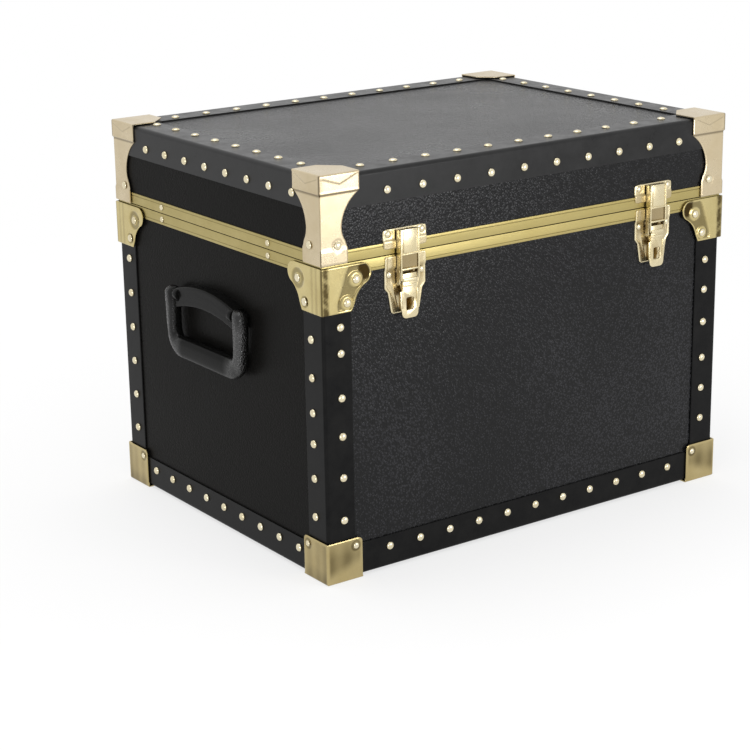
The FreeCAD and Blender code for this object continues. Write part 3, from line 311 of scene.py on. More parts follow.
def clean_copy(name):
    """A solid's faces, without the lines between facets that lie flat."""
    bm = welded(frame["nodes"][name])
    bmesh.ops.dissolve_limit(bm, angle_limit=FLAT, verts=bm.verts, edges=bm.edges)
    return bm


def round_edges(bm, edges, width, segments, clamp=True):
    bmesh.ops.bevel(
        bm, geom=edges, offset=width * MM, offset_type="OFFSET", segments=segments, profile=0.5,
        affect="EDGES", clamp_overlap=clamp,
    )


def round_sharp(bm, width, segments, limit=35.0):
    """Rounds the edges whose faces meet at more than a limit in degrees."""
    least = math.radians(limit)
    edges = [e for e in bm.edges if len(e.link_faces) == 2 and e.calc_face_angle(0) > least]
    round_edges(bm, edges, width, segments)


def new_object(name, bm, look):
    mesh = bpy.data.meshes.new(name)
    bm.to_mesh(mesh)
    bm.free()
    mesh.materials.append(look)
    made = bpy.data.objects.new(name, mesh)
    scene.collection.objects.link(made)
    return made


def finish_piece(name, bm, body, look, nodes, sharp=38.0, weighted=False):
    bmesh.ops.recalc_face_normals(bm, faces=bm.faces)
    made = new_object(name, bm, look)
    made.data.shade_smooth()
    made.data.set_sharp_from_angle(angle=math.radians(sharp))
    if weighted:
        made.modifiers.new("even_faces", "WEIGHTED_NORMAL").keep_sharp = True
    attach(made, body)
    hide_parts(*nodes)


def widen_round(bm, factor):
    """Widens the radius of an angle strip's outer edge by moving its points away from the sharp corner."""
    low, high = ([pick(v.co[k] for v in bm.verts) for k in range(3)] for pick in (min, max))
    long_way = max(range(3), key=lambda k: high[k] - low[k])
    middle = (0.0, 0.0, HIGH * MM / 2)
    cross = [k for k in range(3) if k != long_way]
    corner = {k: max(high[k], low[k], key=lambda v: abs(v - middle[k])) for k in cross}
    for vert in bm.verts:
        near, far = sorted(abs(vert.co[k] - corner[k]) / MM for k in cross)
        if near < 0.9 * STRIP_THICK and far < 1.03 * STRIP_ROUND:
            for k in cross:
                vert.co[k] = corner[k] + factor * (vert.co[k] - corner[k])


def soften(names, width, look, segments=2, rounder=1.0):
    """A copy of a solid's faces with its sharp edges rounded, in the node's place."""
    for name in names:
        bm = clean_copy(name)
        if rounder > 1.0:
            widen_round(bm, rounder)
            bm.normal_update()
        round_sharp(bm, width, segments)
        finish_piece(name + "_soft", bm, frame["nodes"][name]["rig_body"], look, [name], weighted=True)


def join(bm, rings):
    """Faces between each closed ring of points and the next."""
    for a, b in zip(rings, rings[1:]):
        for k in range(len(a)):
            n = (k + 1) % len(a)
            bm.faces.new([a[k], a[n], b[n], b[k]])


def tube(bm, rings):
    join(bm, rings)
    bm.faces.new(rings[0])
    bm.faces.new(rings[-1][::-1])


def shell(bm, layer, front, back, tint):
    """A sheet between two grids of points, closed round its edges, with a tint on its front."""
    grids = [[[bm.verts.new(Vector(p) * MM) for p in line] for line in grid] for grid in (front, back)]
    for line, values in zip(grids[0], tint):
        for vert, value in zip(line, values):
            vert[layer] = value
    rows, columns = len(front), len(front[0])
    for side, grid in enumerate(grids):
        for i in range(rows - 1):
            for j in range(columns - 1):
                quad = [grid[i][j], grid[i][j + 1], grid[i + 1][j + 1], grid[i + 1][j]]
                bm.faces.new(quad[::-1] if side else quad)
    rim = [(0, j) for j in range(columns)] + [(i, columns - 1) for i in range(1, rows)]
    rim += [(rows - 1, j) for j in range(columns - 2, -1, -1)] + [(i, 0) for i in range(rows - 2, 0, -1)]
    for (a, b), (c, d) in zip(rim, rim[1:] + rim[:1]):
        bm.faces.new([grids[0][c][d], grids[0][a][b], grids[1][a][b], grids[1][c][d]])


def prism(bm, points, axis, ends, bevel, segments=2):
    """A closed outline swept along an axis, with its edges rounded. Points give the two other coordinates."""
    own, at = bmesh.new(), "xyz".index(axis)
    rings = []
    for place in sorted(ends):
        rings.append([own.verts.new(Vector((*p[:at], place, *p[at:])) * MM) for p in points])
    own.faces.new(rings[0])
    own.faces.new(rings[1][::-1])
    for k in range(len(points)):
        n = (k + 1) % len(points)
        own.faces.new([rings[0][n], rings[0][k], rings[1][k], rings[1][n]])
    bmesh.ops.recalc_face_normals(own, faces=own.faces)
    round_sharp(own, bevel, segments, limit=30.0)
    spare = bpy.data.meshes.new("spare")
    own.to_mesh(spare)
    own.free()
    bm.from_mesh(spare)
    bpy.data.meshes.remove(spare)


def arc(start, end, share, bulge, count=14):
    """Points of an arc that bulges by a share of its chord, towards +u (1) or -u (-1)."""
    chord, middle = np.subtract(end, start), np.add(start, end) / 2
    length = np.hypot(*chord)
    normal = np.array([chord[1], -chord[0]]) / length
    normal *= bulge if normal[0] > 0 else -bulge
    radius, half = length * (1 / (8 * share) + share / 2), 2 * math.atan(2 * share)
    centre = middle - normal * (radius - share * length)
    turns = [half * (2 * i / count - 1) for i in range(count + 1)]
    return [tuple(centre + radius * (chord / length * math.sin(t) + normal * math.cos(t))) for t in turns]


def width_of(points):
    """The width of a sheet at a height, from the points (width, height) of its edge."""
    order = sorted((z, u) for u, z in points)
    heights, widths = [z for z, u in order], [u for z, u in order]
    return lambda z: float(np.interp(z, heights, widths))


def ear_outline(foot, middle, radius, degrees):
    """An ear's outline: a rounded end between the points before and after it."""
    turns = [math.radians(d) for d in degrees]
    end = [(middle[0] + radius * math.cos(t), middle[1] + radius * math.sin(t)) for t in turns]
    return list(foot[:-1]) + end + [foot[-1]]


def crowded(count, power):
    """Shares from 0 to 1 that lie closer together towards 1, where the edge turns in."""
    return [1 - (1 - i / count) ** power for i in range(count + 1)]


# Corner sheets are made at front left and mirrored. A row is (height, depth from the outer planes, bend radius, wing's
# end), u is the distance from the corner along a wing, and a lift is how far a point of a wing stands out.
WING = crowded(34, 1.5)
BEND = 6


def spans_of(row):
    z, depth, radius, end = row
    return [depth + radius + q * (end - depth - radius) for q in WING]


def corner_line(row, lift, deeper=0.0):
    """One row of a corner sheet, from the side wing's edge round to the front wing's."""
    z, depth, radius, end = row
    depth, radius = depth + deeper, max(radius - deeper, 0.05)
    spans = spans_of((z, depth, radius, end))
    line = [(-HALF_W + depth - lift(u, z, end, "side"), -HALF_D + u, z) for u in reversed(spans)]
    centre = depth + radius
    raised = radius + lift(centre, z, end, "front")
    for angle in quarter(BEND)[1:-1]:
        x, y = centre - raised * math.cos(angle), centre - raised * math.sin(angle)
        line.append((-HALF_W + x, -HALF_D + y, z))
    return line + [(-HALF_W + u, -HALF_D + depth - lift(u, z, end, "front"), z) for u in spans]


def corner_tint(row, hollow):
    z, depth, radius, end = row
    side, front = ([hollow(u, z, end, wing) for u in spans_of(row)] for wing in ("side", "front"))
    return side[::-1] + [hollow(depth, z, end, "front")] * (BEND - 1) + front


def corner_sheet(rows, lift, hollow, behind):
    """Front, back and tint. Behind gives how much deeper and higher than its front a row's back lies."""
    front, back, tint = [], [], []
    for row in rows:
        deeper, higher = behind(*row[:2])
        front.append(corner_line(row, lift))
        back.append([(x, y, z + higher) for x, y, z in corner_line(row, lift, deeper)])
        tint.append(corner_tint(row, hollow))
    return front, back, tint


def make_corners(node, sheet, places, body, look):
    """One piece with a corner sheet at each of the places."""
    bm, layer = new_mesh("hollow")
    front, back, tint = sheet
    for way_x, way_y in places:
        grids = [[[(x * way_x, y * way_y, z) for x, y, z in line] for line in grid] for grid in (front, back)]
        shell(bm, layer, *grids, tint)
    finish_piece(node + "_pressed", bm, body, look, [node])


# Lid corners: a collar with folded tabs, a waisted leg and a foot that steps over the valance.
SHEET = 0.9
FOOT_WIDE, FOOT_TOP, ANKLE = 28.4, 301.0, (26.4, 306.9)
WAIST = (22.9, 319.3)
COLLAR_WIDE, COLLAR_LOW = 41.0, 347.75
COLLAR_EDGE, COLLAR_FACE = 349.0, (349.8, 351.2)  # heights where the collar's edge and face begin
COLLAR_STEP, FOOT_STEP = (347.6, 349.3), (299.2, 302.6)  # heights over which they step out from the leg
LID_WING = width_of(
    [(FOOT_WIDE, LID_RIM), (FOOT_WIDE, FOOT_TOP)]
    + arc(ANKLE, WAIST, 0.0827, -1)
    + arc(WAIST, (COLLAR_WIDE, COLLAR_LOW), 0.1243, -1)
    + [(COLLAR_WIDE, HIGH)]
)
LID_BEND, ROOF_BEND = 0.9, 0.08
LID_ROUND = 1.6
TAB = ((3.0, 361.8), (21.0, 355.8), (38.5, 363.2))  # left, lowest and right point of the folded tab
LID_RIVET = (18.4, 303.5)
ROOF_DEPTHS = (2.2, 3.0, 4.5, 7.0, 10.0, 13.0, 16.0, 19.0, 22.0, 24.0, 25.0, 26.5, 28.0, 29.5, 31.0, 32.3, 32.9)
ROOF_CUT = 66.0  # the roof's slanting edge: depth and width add up to it


def lid_depth(z):
    """The leg lies 1 mm behind the collar, and the foot comes out again by half of that."""
    return fade(*COLLAR_STEP, z) - 0.55 * fade(*FOOT_STEP, z)


def tab_edge(u):
    """Height of the folded tab's lower edge on the collar."""
    left, low, right = TAB
    other = left if u < low[0] else right
    return low[1] + (other[1] - low[1]) * (u - low[0]) / (other[0] - low[0])


def lid_lift(u, z, end, wing):
    """Folded tab on the collar, a seat round the rivet, and edges that turn in."""
    if z > HIGH - LID_ROUND:
        return 0.0
    out = -0.25 * band(math.hypot(u - LID_RIVET[0], z - LID_RIVET[1]), (3.0, 3.6), (4.6, 6.2))
    if z < HIGH - LID_ROUND:  # the roof bend's first row has no tab
        out -= 0.28 * fade(-0.5, 0.5, z - tab_edge(u)) * ease(*COLLAR_FACE, z) * ease(0.8, 4.0, u)
    out -= turn_in(0.45, 1.1, end - u) if z < COLLAR_EDGE else turn_in(0.3, 0.8, end - u)
    return out - turn_in(0.4, 0.9, z - LID_RIM)


def lid_painted_shade(u, z, end, wing):
    """Painted shade: dark lines under the collar, on the bend and along the tab."""
    step = band(z, (345.8, 347.6), (348.2, 349.3))
    fold = fade(0.4, 1.5, u)
    crease = fade(0.15, 0.7, abs(z - tab_edge(u))) * ease(*COLLAR_FACE, z) * band(u, (2.0, 4.0), (36.0, 38.0))
    return min(1.0, 0.6 * step + 0.8 * fold + 0.32 * crease)


def lid_rows():
    heights = [LID_RIM + 0.05, 287.8, 288.3, 289.5, 292.0, 295.0, 297.5]
    heights += [298.6 + 0.6 * i for i in range(8)]
    heights += [*np.arange(304.0, 345.5, 1.0), *np.arange(345.5, 351.5, 0.45)]
    heights += [*np.arange(351.5, HIGH - LID_ROUND - 0.1, 0.55)]
    rows = [(z, lid_depth(z), LID_BEND, LID_WING(z)) for z in heights]
    for angle in quarter(5):
        depth = LID_ROUND * (1 - math.cos(angle))
        z = HIGH - LID_ROUND + LID_ROUND * math.sin(angle)
        rows.append((z, depth, max(LID_BEND - depth, 0.1), COLLAR_WIDE))
    return rows + [(HIGH, depth, ROOF_BEND, min(COLLAR_WIDE, ROOF_CUT - depth)) for depth in ROOF_DEPTHS]


def lid_behind(z, depth):
    room = BRASS_OUT - STRIP_THICK - depth - 0.05
    return 0.0 if z >= HIGH - 0.02 else min(SHEET, room), -SHEET * max(z - HIGH + LID_ROUND, 0.0) / LID_ROUND


def make_lid_corners():
    sheet = corner_sheet(lid_rows(), lid_lift, lid_painted_shade, lid_behind)
    for name, ways in CORNERS.items():
        make_corners(f"lid_{name}_corner", sheet, [ways], "lid", SATIN)


# Base corners: lobed wings with a hollow pressed round two bosses.
BASE_TOP, BASE_LOW = 285.5, 244.7
BASE_BEND, BASE_SHEET = 1.3, 0.62
ELBOW, LOBE_LOW, LOBE_END = (34.5, 252.0), (47.5, 268.1), (52.0, 276.9)
BASE_WING = width_of(
    [(31.0, BASE_LOW), ELBOW]
    + arc(ELBOW, LOBE_LOW, 0.1133, -1)
    + arc(LOBE_LOW, LOBE_END, 0.1403, 1)
    + arc(LOBE_END, (43.0, BASE_TOP), 0.1948, 1)
)
BOSSES = ((36.0, 272.0, 6.6), (26.3, 252.7, 6.0))  # place on the wing, height and radius
RINGS = (((8.2, 9.8), (4.0, 5.4)), ((4.6, 5.8), (2.9, 3.9)))  # slopes of the end wings' hollows and bosses
HOLLOW_SIDE = (  # heights, and where the front wing's hollow begins at each
    [244.0, 247.0, 252.0, 260.0, 268.0, 276.0, 282.0, 286.0],
    [18.5, 17.0, 16.6, 19.2, 22.2, 24.6, 27.5, 31.0],
)
INSET = (1.1, 2.6)


def base_parts(u, z, end, wing):
    """How far a point lies in the pressed hollow, and how far on a boss. The end wings have rings only."""
    away = [math.hypot(u - place, z - high) for place, high, size in BOSSES]
    inside = ease(*INSET, end - u) * ease(*INSET, z - BASE_LOW) * ease(*INSET, BASE_TOP - z)
    if wing == "front":
        inside *= ease(-0.9, 0.9, u - float(np.interp(z, *HOLLOW_SIDE)))
        boss = max(fade(size - 0.8, size + 0.9, far) for far, (place, high, size) in zip(away, BOSSES))
    else:
        inside *= max(fade(*ring, far) for far, (ring, top) in zip(away, RINGS))
        boss = max(fade(*top, far) for far, (ring, top) in zip(away, RINGS))
    return inside, boss


def base_lift(u, z, end, wing):
    inside, boss = base_parts(u, z, end, wing)
    out = (-1.15 if wing == "front" else -0.7) * inside * (1 - boss)
    out -= turn_in(0.5, 0.9, end - u)
    return out - turn_in(0.4, 0.8, z - BASE_LOW) - turn_in(0.4, 0.8, BASE_TOP - z)


def base_painted_reflection_and_shade(u, z, end, wing):
    """Painted reflections and shade: dark in the hollow, beside the bend and on the upper lobe, and soft bands on the
    end wings.
    """
    inside, boss = base_parts(u, z, end, wing)
    if wing == "side":
        bands = 0.24 * ease(0.1, 0.9, 0.5 + 0.5 * math.sin(u * 0.95 + 0.4)) * fade(13.0, 20.0, u)
        return min(1.0, 0.5 * inside * (1 - boss) + bands)
    patch = 0.55 + 0.25 * math.sin(z * 0.31 + 1.1) + 0.2 * math.sin(z * 0.83 + u * 0.6)
    patch += 0.1 * math.sin(z * 2.3 - u * 1.4)
    near = band(u, (0.9, 1.7), (5.6, 8.6)) * (0.3 + 0.7 * patch)
    bend = 0.8 * fade(0.3, 0.9, u)
    place, high, size = BOSSES[0]
    lobe = ease(6.4, 7.6, math.hypot(u - place, z - high)) * ease(37.5, 41.0, u) * ease(269.0, 272.5, z)
    lobe *= ease(1.0, 2.2, end - u)
    return min(1.0, inside * (1 - boss) * 0.6 + min(0.9, 1.3 * near) + 0.6 * lobe + bend)


def make_base_corners():
    steps = [0.05, 0.3, 0.6, 1.0, 1.6, *np.arange(2.2, 39.0, 0.6), 39.2, 39.8, 40.2, 40.5, 40.75]
    rows = [(BASE_LOW + s, 0.0, BASE_BEND, BASE_WING(BASE_LOW + s)) for s in steps]
    sheet = corner_sheet(rows, base_lift, base_painted_reflection_and_shade, lambda z, depth: (BASE_SHEET, 0.0))
    make_corners("base_corners", sheet, CORNERS.values(), "base", BRASS)


# Bottom caps: three-sided shells on which the trunk stands. Their free corners have a radius of CAP_FREE.
CAP_WIDE, CAP_HIGH, CAP_ROUND, CAP_FREE = 37.5, 38.5, 1.5, 4.5
CAP_RIVET = (30.5, 31.5)
CAP_SEAT = ((2.9, 3.5), (4.4, 5.8))  # slopes of the ring pressed round the rivet
SOLE_DEPTHS = (37.3, 30.0, 22.0, 14.0, 8.0, 4.0, 2.2)


def cap_width(z):
    over = max(0.0, z - (CAP_HIGH - CAP_FREE))
    return CAP_WIDE - CAP_FREE + math.sqrt(max(CAP_FREE**2 - over**2, 0.0))


def cap_seat(u, z):
    return band(math.hypot(u - CAP_RIVET[0], z - CAP_RIVET[1]), *CAP_SEAT)


def cap_lift(u, z, end, wing):
    if z < CAP_ROUND + 0.1:
        return 0.0
    return -0.3 * cap_seat(u, z) - turn_in(0.45, 0.9, end - u) - turn_in(0.4, 0.8, CAP_HIGH - z)


def cap_painted_reflection_and_shade(u, z, end, wing):
    """Painted reflections: soft dark fields as a slightly bulged plate would mirror them, over a bright foot and
    bright edges, and painted shade in the ring round the rivet.
    """
    edges = ease(0.8, 3.5, u) * ease(0.5, 5.0, end - u) * ease(0.4, 3.0, CAP_HIGH - z)
    if wing == "side":
        field = 0.3 * fade(2.0, 16.0, z) + 0.2 * fade(4.0, 19.0, u) + 0.08 * math.sin(0.5 * u) + 0.12
    else:
        field = 0.62 * ease(7.0, 19.0, z + 0.3 * (18.0 - u)) * (1 - 0.55 * ease(22.0, 37.0, z))
        field *= 0.8 + 0.2 * math.sin(0.34 * u + 0.6)
    return min(1.0, max(0.0, 0.45 * cap_seat(u, z) + field * edges))


def cap_behind(z, depth):
    return 0.0 if z < 0.001 else SHEET, SHEET * max(1 - z / CAP_ROUND, 0.0)


def make_bottom_caps():
    rows = [(0.0, depth, ROOF_BEND, CAP_WIDE) for depth in SOLE_DEPTHS]
    for angle in quarter(5):
        depth = CAP_ROUND * (1 - math.sin(angle))
        rows.append((CAP_ROUND * (1 - math.cos(angle)), depth, max(CAP_ROUND - depth, 0.1), CAP_WIDE))
    heights = [*np.arange(2.2, 26.0, 1.2), *np.arange(26.0, 37.4, 0.6), 37.6, 37.9, 38.15, 38.35, 38.45]
    rows += [(z, 0.0, CAP_ROUND, cap_width(z)) for z in heights]
    sheet = corner_sheet(rows, cap_lift, cap_painted_reflection_and_shade, cap_behind)
    make_corners("bottom_corners", sheet, CORNERS.values(), "base", CAP)


# Valances: rolled strips with a scored line, mitred at the corners. The section is (out, distance from the edge).
VALANCE_HIGH = 10.7
VALANCE = (
    (0.0, 0.0), (0.6, 0.0), (0.9, 0.15), (1.0, 0.45), (1.0, 2.2), (0.75, 2.45), (0.75, 2.75), (1.0, 3.0),
    (1.0, 10.1), (0.92, 10.5), (0.7, VALANCE_HIGH), (0.0, VALANCE_HIGH),
)


def make_valances():
    for part, edge, way in (("lid", LID_RIM + VALANCE_HIGH, -1), ("base", BASE_RIM - VALANCE_HIGH, 1)):
        bm, layer = new_mesh("hollow")
        rings = []
        for out, along in VALANCE:
            x, y, z = CASE_X + out, CASE_Y + out, edge + way * along
            ring = [bm.verts.new(Vector(p) * MM) for p in ((-x, -y, z), (x, -y, z), (x, y, z), (-x, y, z))]
            # Painted shade: darker in the scored line and on the rolled edges.
            for vert in ring:
                vert[layer] = 0.5 * fade(0.7, 0.95, out)
            rings.append(ring)
        join(bm, rings + rings[:1])
        finish_piece(f"{part}_valance_rolled", bm, part, TRIM, [f"{part}_valance"], sharp=20.0)


# Domed nails and rivets, one on each head of the solids.
DOME_SIDES = 20
DOME = ((0.96, -0.08), (1.0, 0.04), (1.0, 0.16), (0.95, 0.36), (0.84, 0.6), (0.66, 0.8), (0.44, 0.93), (0.2, 0.99))
# The front posts' nails, unevenly driven by hand: facing axis, side, and shifts in height from the top.
UNEVEN = (
    (1, -1, (0.6, 12.0, 6.7, 6.5, 3.3, -1.5)),
    (0, -1, (-11.0, -10.6, -7.7, -1.3, 1.5, 0.6)),
    (1, 1, (-6.7, -1.9, 0.2, -1.5, 2.1, 5.6)),
)
POST_X, POST_Y, POST_LOW, POST_TOP = 200.0, 145.0, 45.0, 242.0  # the box in which a front post's nails lie
PRESSED_DEEP, PRESSED_WIDE, PRESSED_LOW = 5.0, 45.0, 240.0  # where the lid's and base's corners have their rivets


def islands(node):
    """The points of each separate solid of a node."""
    bm = welded(node)
    left = set(bm.verts)
    while left:
        found, queue = set(), [left.pop()]
        while queue:
            vert = queue.pop()
            found.add(vert)
            for e in vert.link_edges:
                other = e.other_vert(vert)
                if other in left:
                    left.discard(other)
                    queue.append(other)
        yield np.array([v.co for v in found])
    bm.free()


def head_places(node):
    """Seat, direction, radius and height of each head in metres, in a steady order."""
    heads = []
    for points in islands(node):
        low, high = points.min(0), points.max(0)
        axis = int(np.argmin(high - low))
        middle = (low + high) / 2
        wide = np.hypot(*np.delete(points - middle, axis, axis=1).T)
        seat_at = points[int(np.argmax(wide)), axis]
        way = 1.0 if seat_at < middle[axis] else -1.0
        seat, facing = middle.copy(), np.zeros(3)
        seat[axis], facing[axis] = seat_at, way
        heads.append((tuple(np.round(seat, 7)), tuple(facing), float(wide.max()), float(high[axis] - low[axis])))
    return sorted(heads)


def dome(bm, layer, seat, facing, radius, height, tilt):
    """A closed dome with a low rim, leaning a little."""
    turn = Vector(facing).to_track_quat("Z", "Y").to_matrix().to_4x4()
    lean = Matrix.Rotation(tilt[0], 4, "X") @ Matrix.Rotation(tilt[1], 4, "Y")
    place = Matrix.Translation(Vector(seat)) @ turn @ lean
    rings = []
    for share, rise in DOME:
        wide = radius * share
        spots = [Vector((wide * math.cos(t), wide * math.sin(t), height * rise)) for t in whole(DOME_SIDES)]
        rings.append([bm.verts.new(place @ spot) for spot in spots])
        # Painted shade: the low rim is darker than the crown.
        for vert in rings[-1]:
            vert[layer] = 0.7 * fade(0.1, 0.4, rise)
    join(bm, rings)
    bm.faces.new(rings[0][::-1])
    crown = bm.verts.new(place @ Vector((0, 0, height)))
    for k in range(DOME_SIDES):
        bm.faces.new([rings[-1][k], rings[-1][(k + 1) % DOME_SIDES], crown])


def on_post(side, x, y, z):
    return x * side > POST_X * MM and y < -POST_Y * MM and POST_LOW * MM < z < POST_TOP * MM


def hand_set(heads):
    moved = []
    for axis, side, shifts in UNEVEN:
        post = [head for head in heads if head[1][axis] < 0 and on_post(side, *head[0])]
        post.sort(key=lambda head: -head[0][2])
        for (seat, *rest), shift in zip(post, shifts):
            moved.append(((seat[0], seat[1], seat[2] + shift * MM), *rest))
        heads = [head for head in heads if head not in post]
    return heads + moved


def on_ankle(seat, facing, along):
    """The seat of a lid corner's rivet, moved along its wing and in height to the ankle."""
    k = 0 if facing[1] else 1
    shift = Vector((0, 0, LID_RIVET[1] * MM - seat[2]))
    shift[k] = math.copysign((along - LID_RIVET[0]) * MM, seat[k])
    return Vector(seat) + shift


def make_heads():
    for name in ("base_nails", "base_rivets", "lid_nails", "lid_rivets"):
        part, kind = name.split("_")
        places = head_places(frame["nodes"][name])
        if name == "base_nails":
            places = hand_set(places)
        bm, layer = new_mesh("hollow")
        for seat, facing, radius, height in places:
            lean = 0.05 if kind == "nails" else 0.02
            tilt = (dice.uniform(-lean, lean), dice.uniform(-lean, lean))
            grow, tall = (1.1, 1.0 if facing[2] else 1.3) if kind == "nails" else (1.0, 1.0)
            deep, along = sorted((HALF_W - abs(seat[0]) / MM, HALF_D - abs(seat[1]) / MM))
            pressed = deep < PRESSED_DEEP and along < PRESSED_WIDE and seat[2] > PRESSED_LOW * MM
            if kind == "rivets" and pressed:
                grow, tall = 1.3, 1.2
                if part == "lid":
                    seat = on_ankle(seat, facing, along)
            dome(bm, layer, seat, facing, radius * grow, height * tall, tilt)
        finish_piece(f"{name}_domed", bm, part, NAIL, [name], sharp=60.0)


# Latches: u is the distance from a latch's middle, and out the distance in front of the boards.
BOARD_OUT, VALANCE_OUT = 0.02, 1.02  # a sheet's back on the boards and on the valance


def make_latch_sheets(kind, body, heights, shares, edge, out, hollow, step, seats, folds):
    """A pressed sheet on each latch, whose back has one of two seats, below and above a step. A fold is its outline in
    out and height, its reach across and its bevel."""
    across = [-q for q in reversed(shares[1:])] + shares
    for side, way in PAIR:
        middle = way * LATCH_X
        bm, layer = new_mesh("hollow")
        front, back, tint = [], [], []
        for z in heights:
            line = [q * edge(z) for q in across]
            front.append([(middle + u, -CASE_Y - out(u, z), z) for u in line])
            back.append([(middle + u, -CASE_Y - seats[z >= step], z) for u in line])
            tint.append([hollow(u, z) for u in line])
        shell(bm, layer, front, back, tint)
        for outline, reach, bevel in folds:
            prism(bm, [(-CASE_Y - o, z) for o, z in outline], "x", [middle + u for u in reach], bevel)
        node = f"latch_{side}_{kind}"
        finish_piece(node + "_pressed", bm, body, LATCH, [node])


# Latch plates: shields that step over the valance, with a raised rim, a crease to the foot and two ears.
PLATE_LOW, PLATE_TOP = 234.2, 285.5
PLATE_STEP = (272.6, 275.6)
PLATE_EDGE = width_of(
    [(13.2, PLATE_LOW), (15.2, 236.0), (18.4, 253.5), (21.8, 257.4), (21.8, 284.0), (20.6, PLATE_TOP)]
)
LEVER_PIN = (4.5, 268.0)  # out and height
EAR_ROUND, EAR_FROM, EAR_THICK = 1.7, 4.3, 1.2
EAR_FOOT = ((1.4, 265.9), (4.5, 266.3), (1.4, 268.3))


def plate_out(u, z):
    side = PLATE_EDGE(z) - abs(u)
    step = mix(1.2, 2.2, ease(*PLATE_STEP, z))
    rim = 0.35 * fade(1.4, 2.6, side)
    line = 7.0 + (z - 236.0) * 0.3
    crease = 0.45 * fade(0.0, 2.2, abs(abs(u) - line)) * band(z, (236.5, 240.0), (258.0, 266.0))
    fall = turn_in(0.5, 0.7, side) + turn_in(0.4, 0.7, z - PLATE_LOW) + turn_in(0.3, 0.6, PLATE_TOP - z)
    return step - 0.3 + rim + crease - fall


def plate_painted_shade(u, z):
    """Painted shade behind the lever and under the link, and a little darker inside the rim."""
    side = PLATE_EDGE(z) - abs(u)
    behind = fade(5.5, 8.0, abs(u)) * band(z, (234.5, 236.0), (252.0, 256.0))
    upper = ease(1.8, 3.0, side) * band(z, (258.0, 268.0), (272.0, 275.0))
    return min(1.0, 0.28 * ease(1.6, 3.0, side) * ease(237.0, 241.0, z) + behind + 0.35 * upper)


def make_latch_plates():
    heights = [234.25, 234.5, 234.9, 235.4, 236.0, *np.arange(237.0, 284.0, 1.0), 284.3, 284.9, 285.2, 285.45]
    ear = ear_outline(EAR_FOOT, LEVER_PIN, EAR_ROUND, [-90 + 22.5 * k for k in range(9)])
    ears = [(ear, (way * EAR_FROM, way * (EAR_FROM + EAR_THICK)), 0.2) for way in (-1, 1)]
    form = (heights, crowded(26, 1.6), PLATE_EDGE, plate_out, plate_painted_shade)
    make_latch_sheets("plate", "base", *form, PLATE_STEP[1], (BOARD_OUT, VALANCE_OUT), ears)


# Keepers: round-cornered tabs on the lid with a folded shelf behind the link.
KEEPER_LOW, KEEPER_TOP = 291.95, 309.15
KEEPER_EDGE = width_of(
    [(19.8, KEEPER_LOW), (22.1, 292.6), (22.75, 293.8), (23.0, 295.2), (23.0, 306.0)]
    + [(22.75, 307.4), (22.1, 308.4), (19.8, KEEPER_TOP)]
)
KEEPER_STEP, KEEPER_RIVET = (298.0, 301.5), (18.0, 305.3)
SHELF = ((0.2, 307.1), (7.2, 307.1), (7.2, 301.1), (6.0, 301.1), (6.0, 305.9), (0.2, 305.9))  # out and height
SHELF_HALF = 8.2


def keeper_out(u, z):
    side = KEEPER_EDGE(z) - abs(u)
    step = mix(2.2, 1.2, ease(298.2, 301.0, z))
    dish = 0.25 * band(math.hypot(abs(u) - KEEPER_RIVET[0], z - KEEPER_RIVET[1]), (2.9, 3.5), (4.2, 5.4))
    fall = turn_in(0.5, 0.9, side) + turn_in(0.35, 0.7, KEEPER_TOP - z) + turn_in(0.35, 0.7, z - KEEPER_LOW)
    return step - dish - fall


def keeper_hollow(u, z):
    return 0.3 * fade(*KEEPER_STEP, z)


def make_keepers():
    heights = [KEEPER_LOW, 292.1, 292.35, 292.7, 293.2, 294.0, *np.arange(295.0, 307.6, 0.7)]
    heights += [307.9, 308.4, 308.8, 309.0, KEEPER_TOP]
    shelf = (SHELF, (-SHELF_HALF, SHELF_HALF), 0.3)
    form = (heights, crowded(30, 1.5), KEEPER_EDGE, keeper_out, keeper_hollow)
    make_latch_sheets("keeper", "lid", *form, KEEPER_STEP[0], (VALANCE_OUT, BOARD_OUT), [shelf])


# Links and levers: the solids' shapes with rounded corners, and panels, bars and rails on them.
# A block is its reach across, its heights, its reach out, and its bevel with the number of segments.
LINK_BLOCKS = (
    ((-9.95, -8.5), (264.0, 308.4), (8.0, 9.0), 0.4, 3),
    ((8.5, 9.95), (264.0, 308.4), (8.0, 9.0), 0.4, 3),
    ((-6.9, 6.9), (288.4, 307.6), (8.1, 8.95), 0.6, 3),
    ((-8.6, 8.6), (286.3, 287.6), (7.0, 8.8), 0.35, 3),
    ((-8.8, 8.8), (272.8, 274.6), (7.0, 8.6), 0.5, 3),
)
LEVER_BLOCKS = (
    ((-7.2, 7.2), (262.4, 265.8), (7.2, 8.7), 0.9, 4),
    ((-7.2, 7.2), (258.2, 260.4), (7.2, 8.2), 0.6, 3),
    ((-8.4, -7.1), (239.0, 256.0), (7.3, 8.3), 0.45, 3),
    ((7.1, 8.4), (239.0, 256.0), (7.3, 8.3), 0.45, 3),
)
LINK_FACE, LINK_SUNK = 8.8, 8.3  # the solid link's face moves back between its rails
LEVER_ROUNDS = (  # radius and place of the lower corners, and of those of the window
    (3.6, lambda u, out, z: z < 230.6 and u > 7.0),
    (1.6, lambda u, out, z: u < 4.3 and 236.0 < z < 250.0),
)


def latch_place(point):
    """Distance from the latch's middle, out and height of a point in metres."""
    return abs(abs(point.x) / MM - LATCH_X), -point.y / MM - CASE_Y, point.z / MM


def round_upright(bm, radius, chosen):
    """Rounds the edges that run front to back at a chosen place."""
    picked = []
    for e in bm.edges:
        run = e.verts[1].co - e.verts[0].co
        if abs(run.y) > 0.95 * run.length and all(chosen(*latch_place(v.co)) for v in e.verts):
            picked.append(e)
    round_edges(bm, picked, radius, 5, clamp=False)


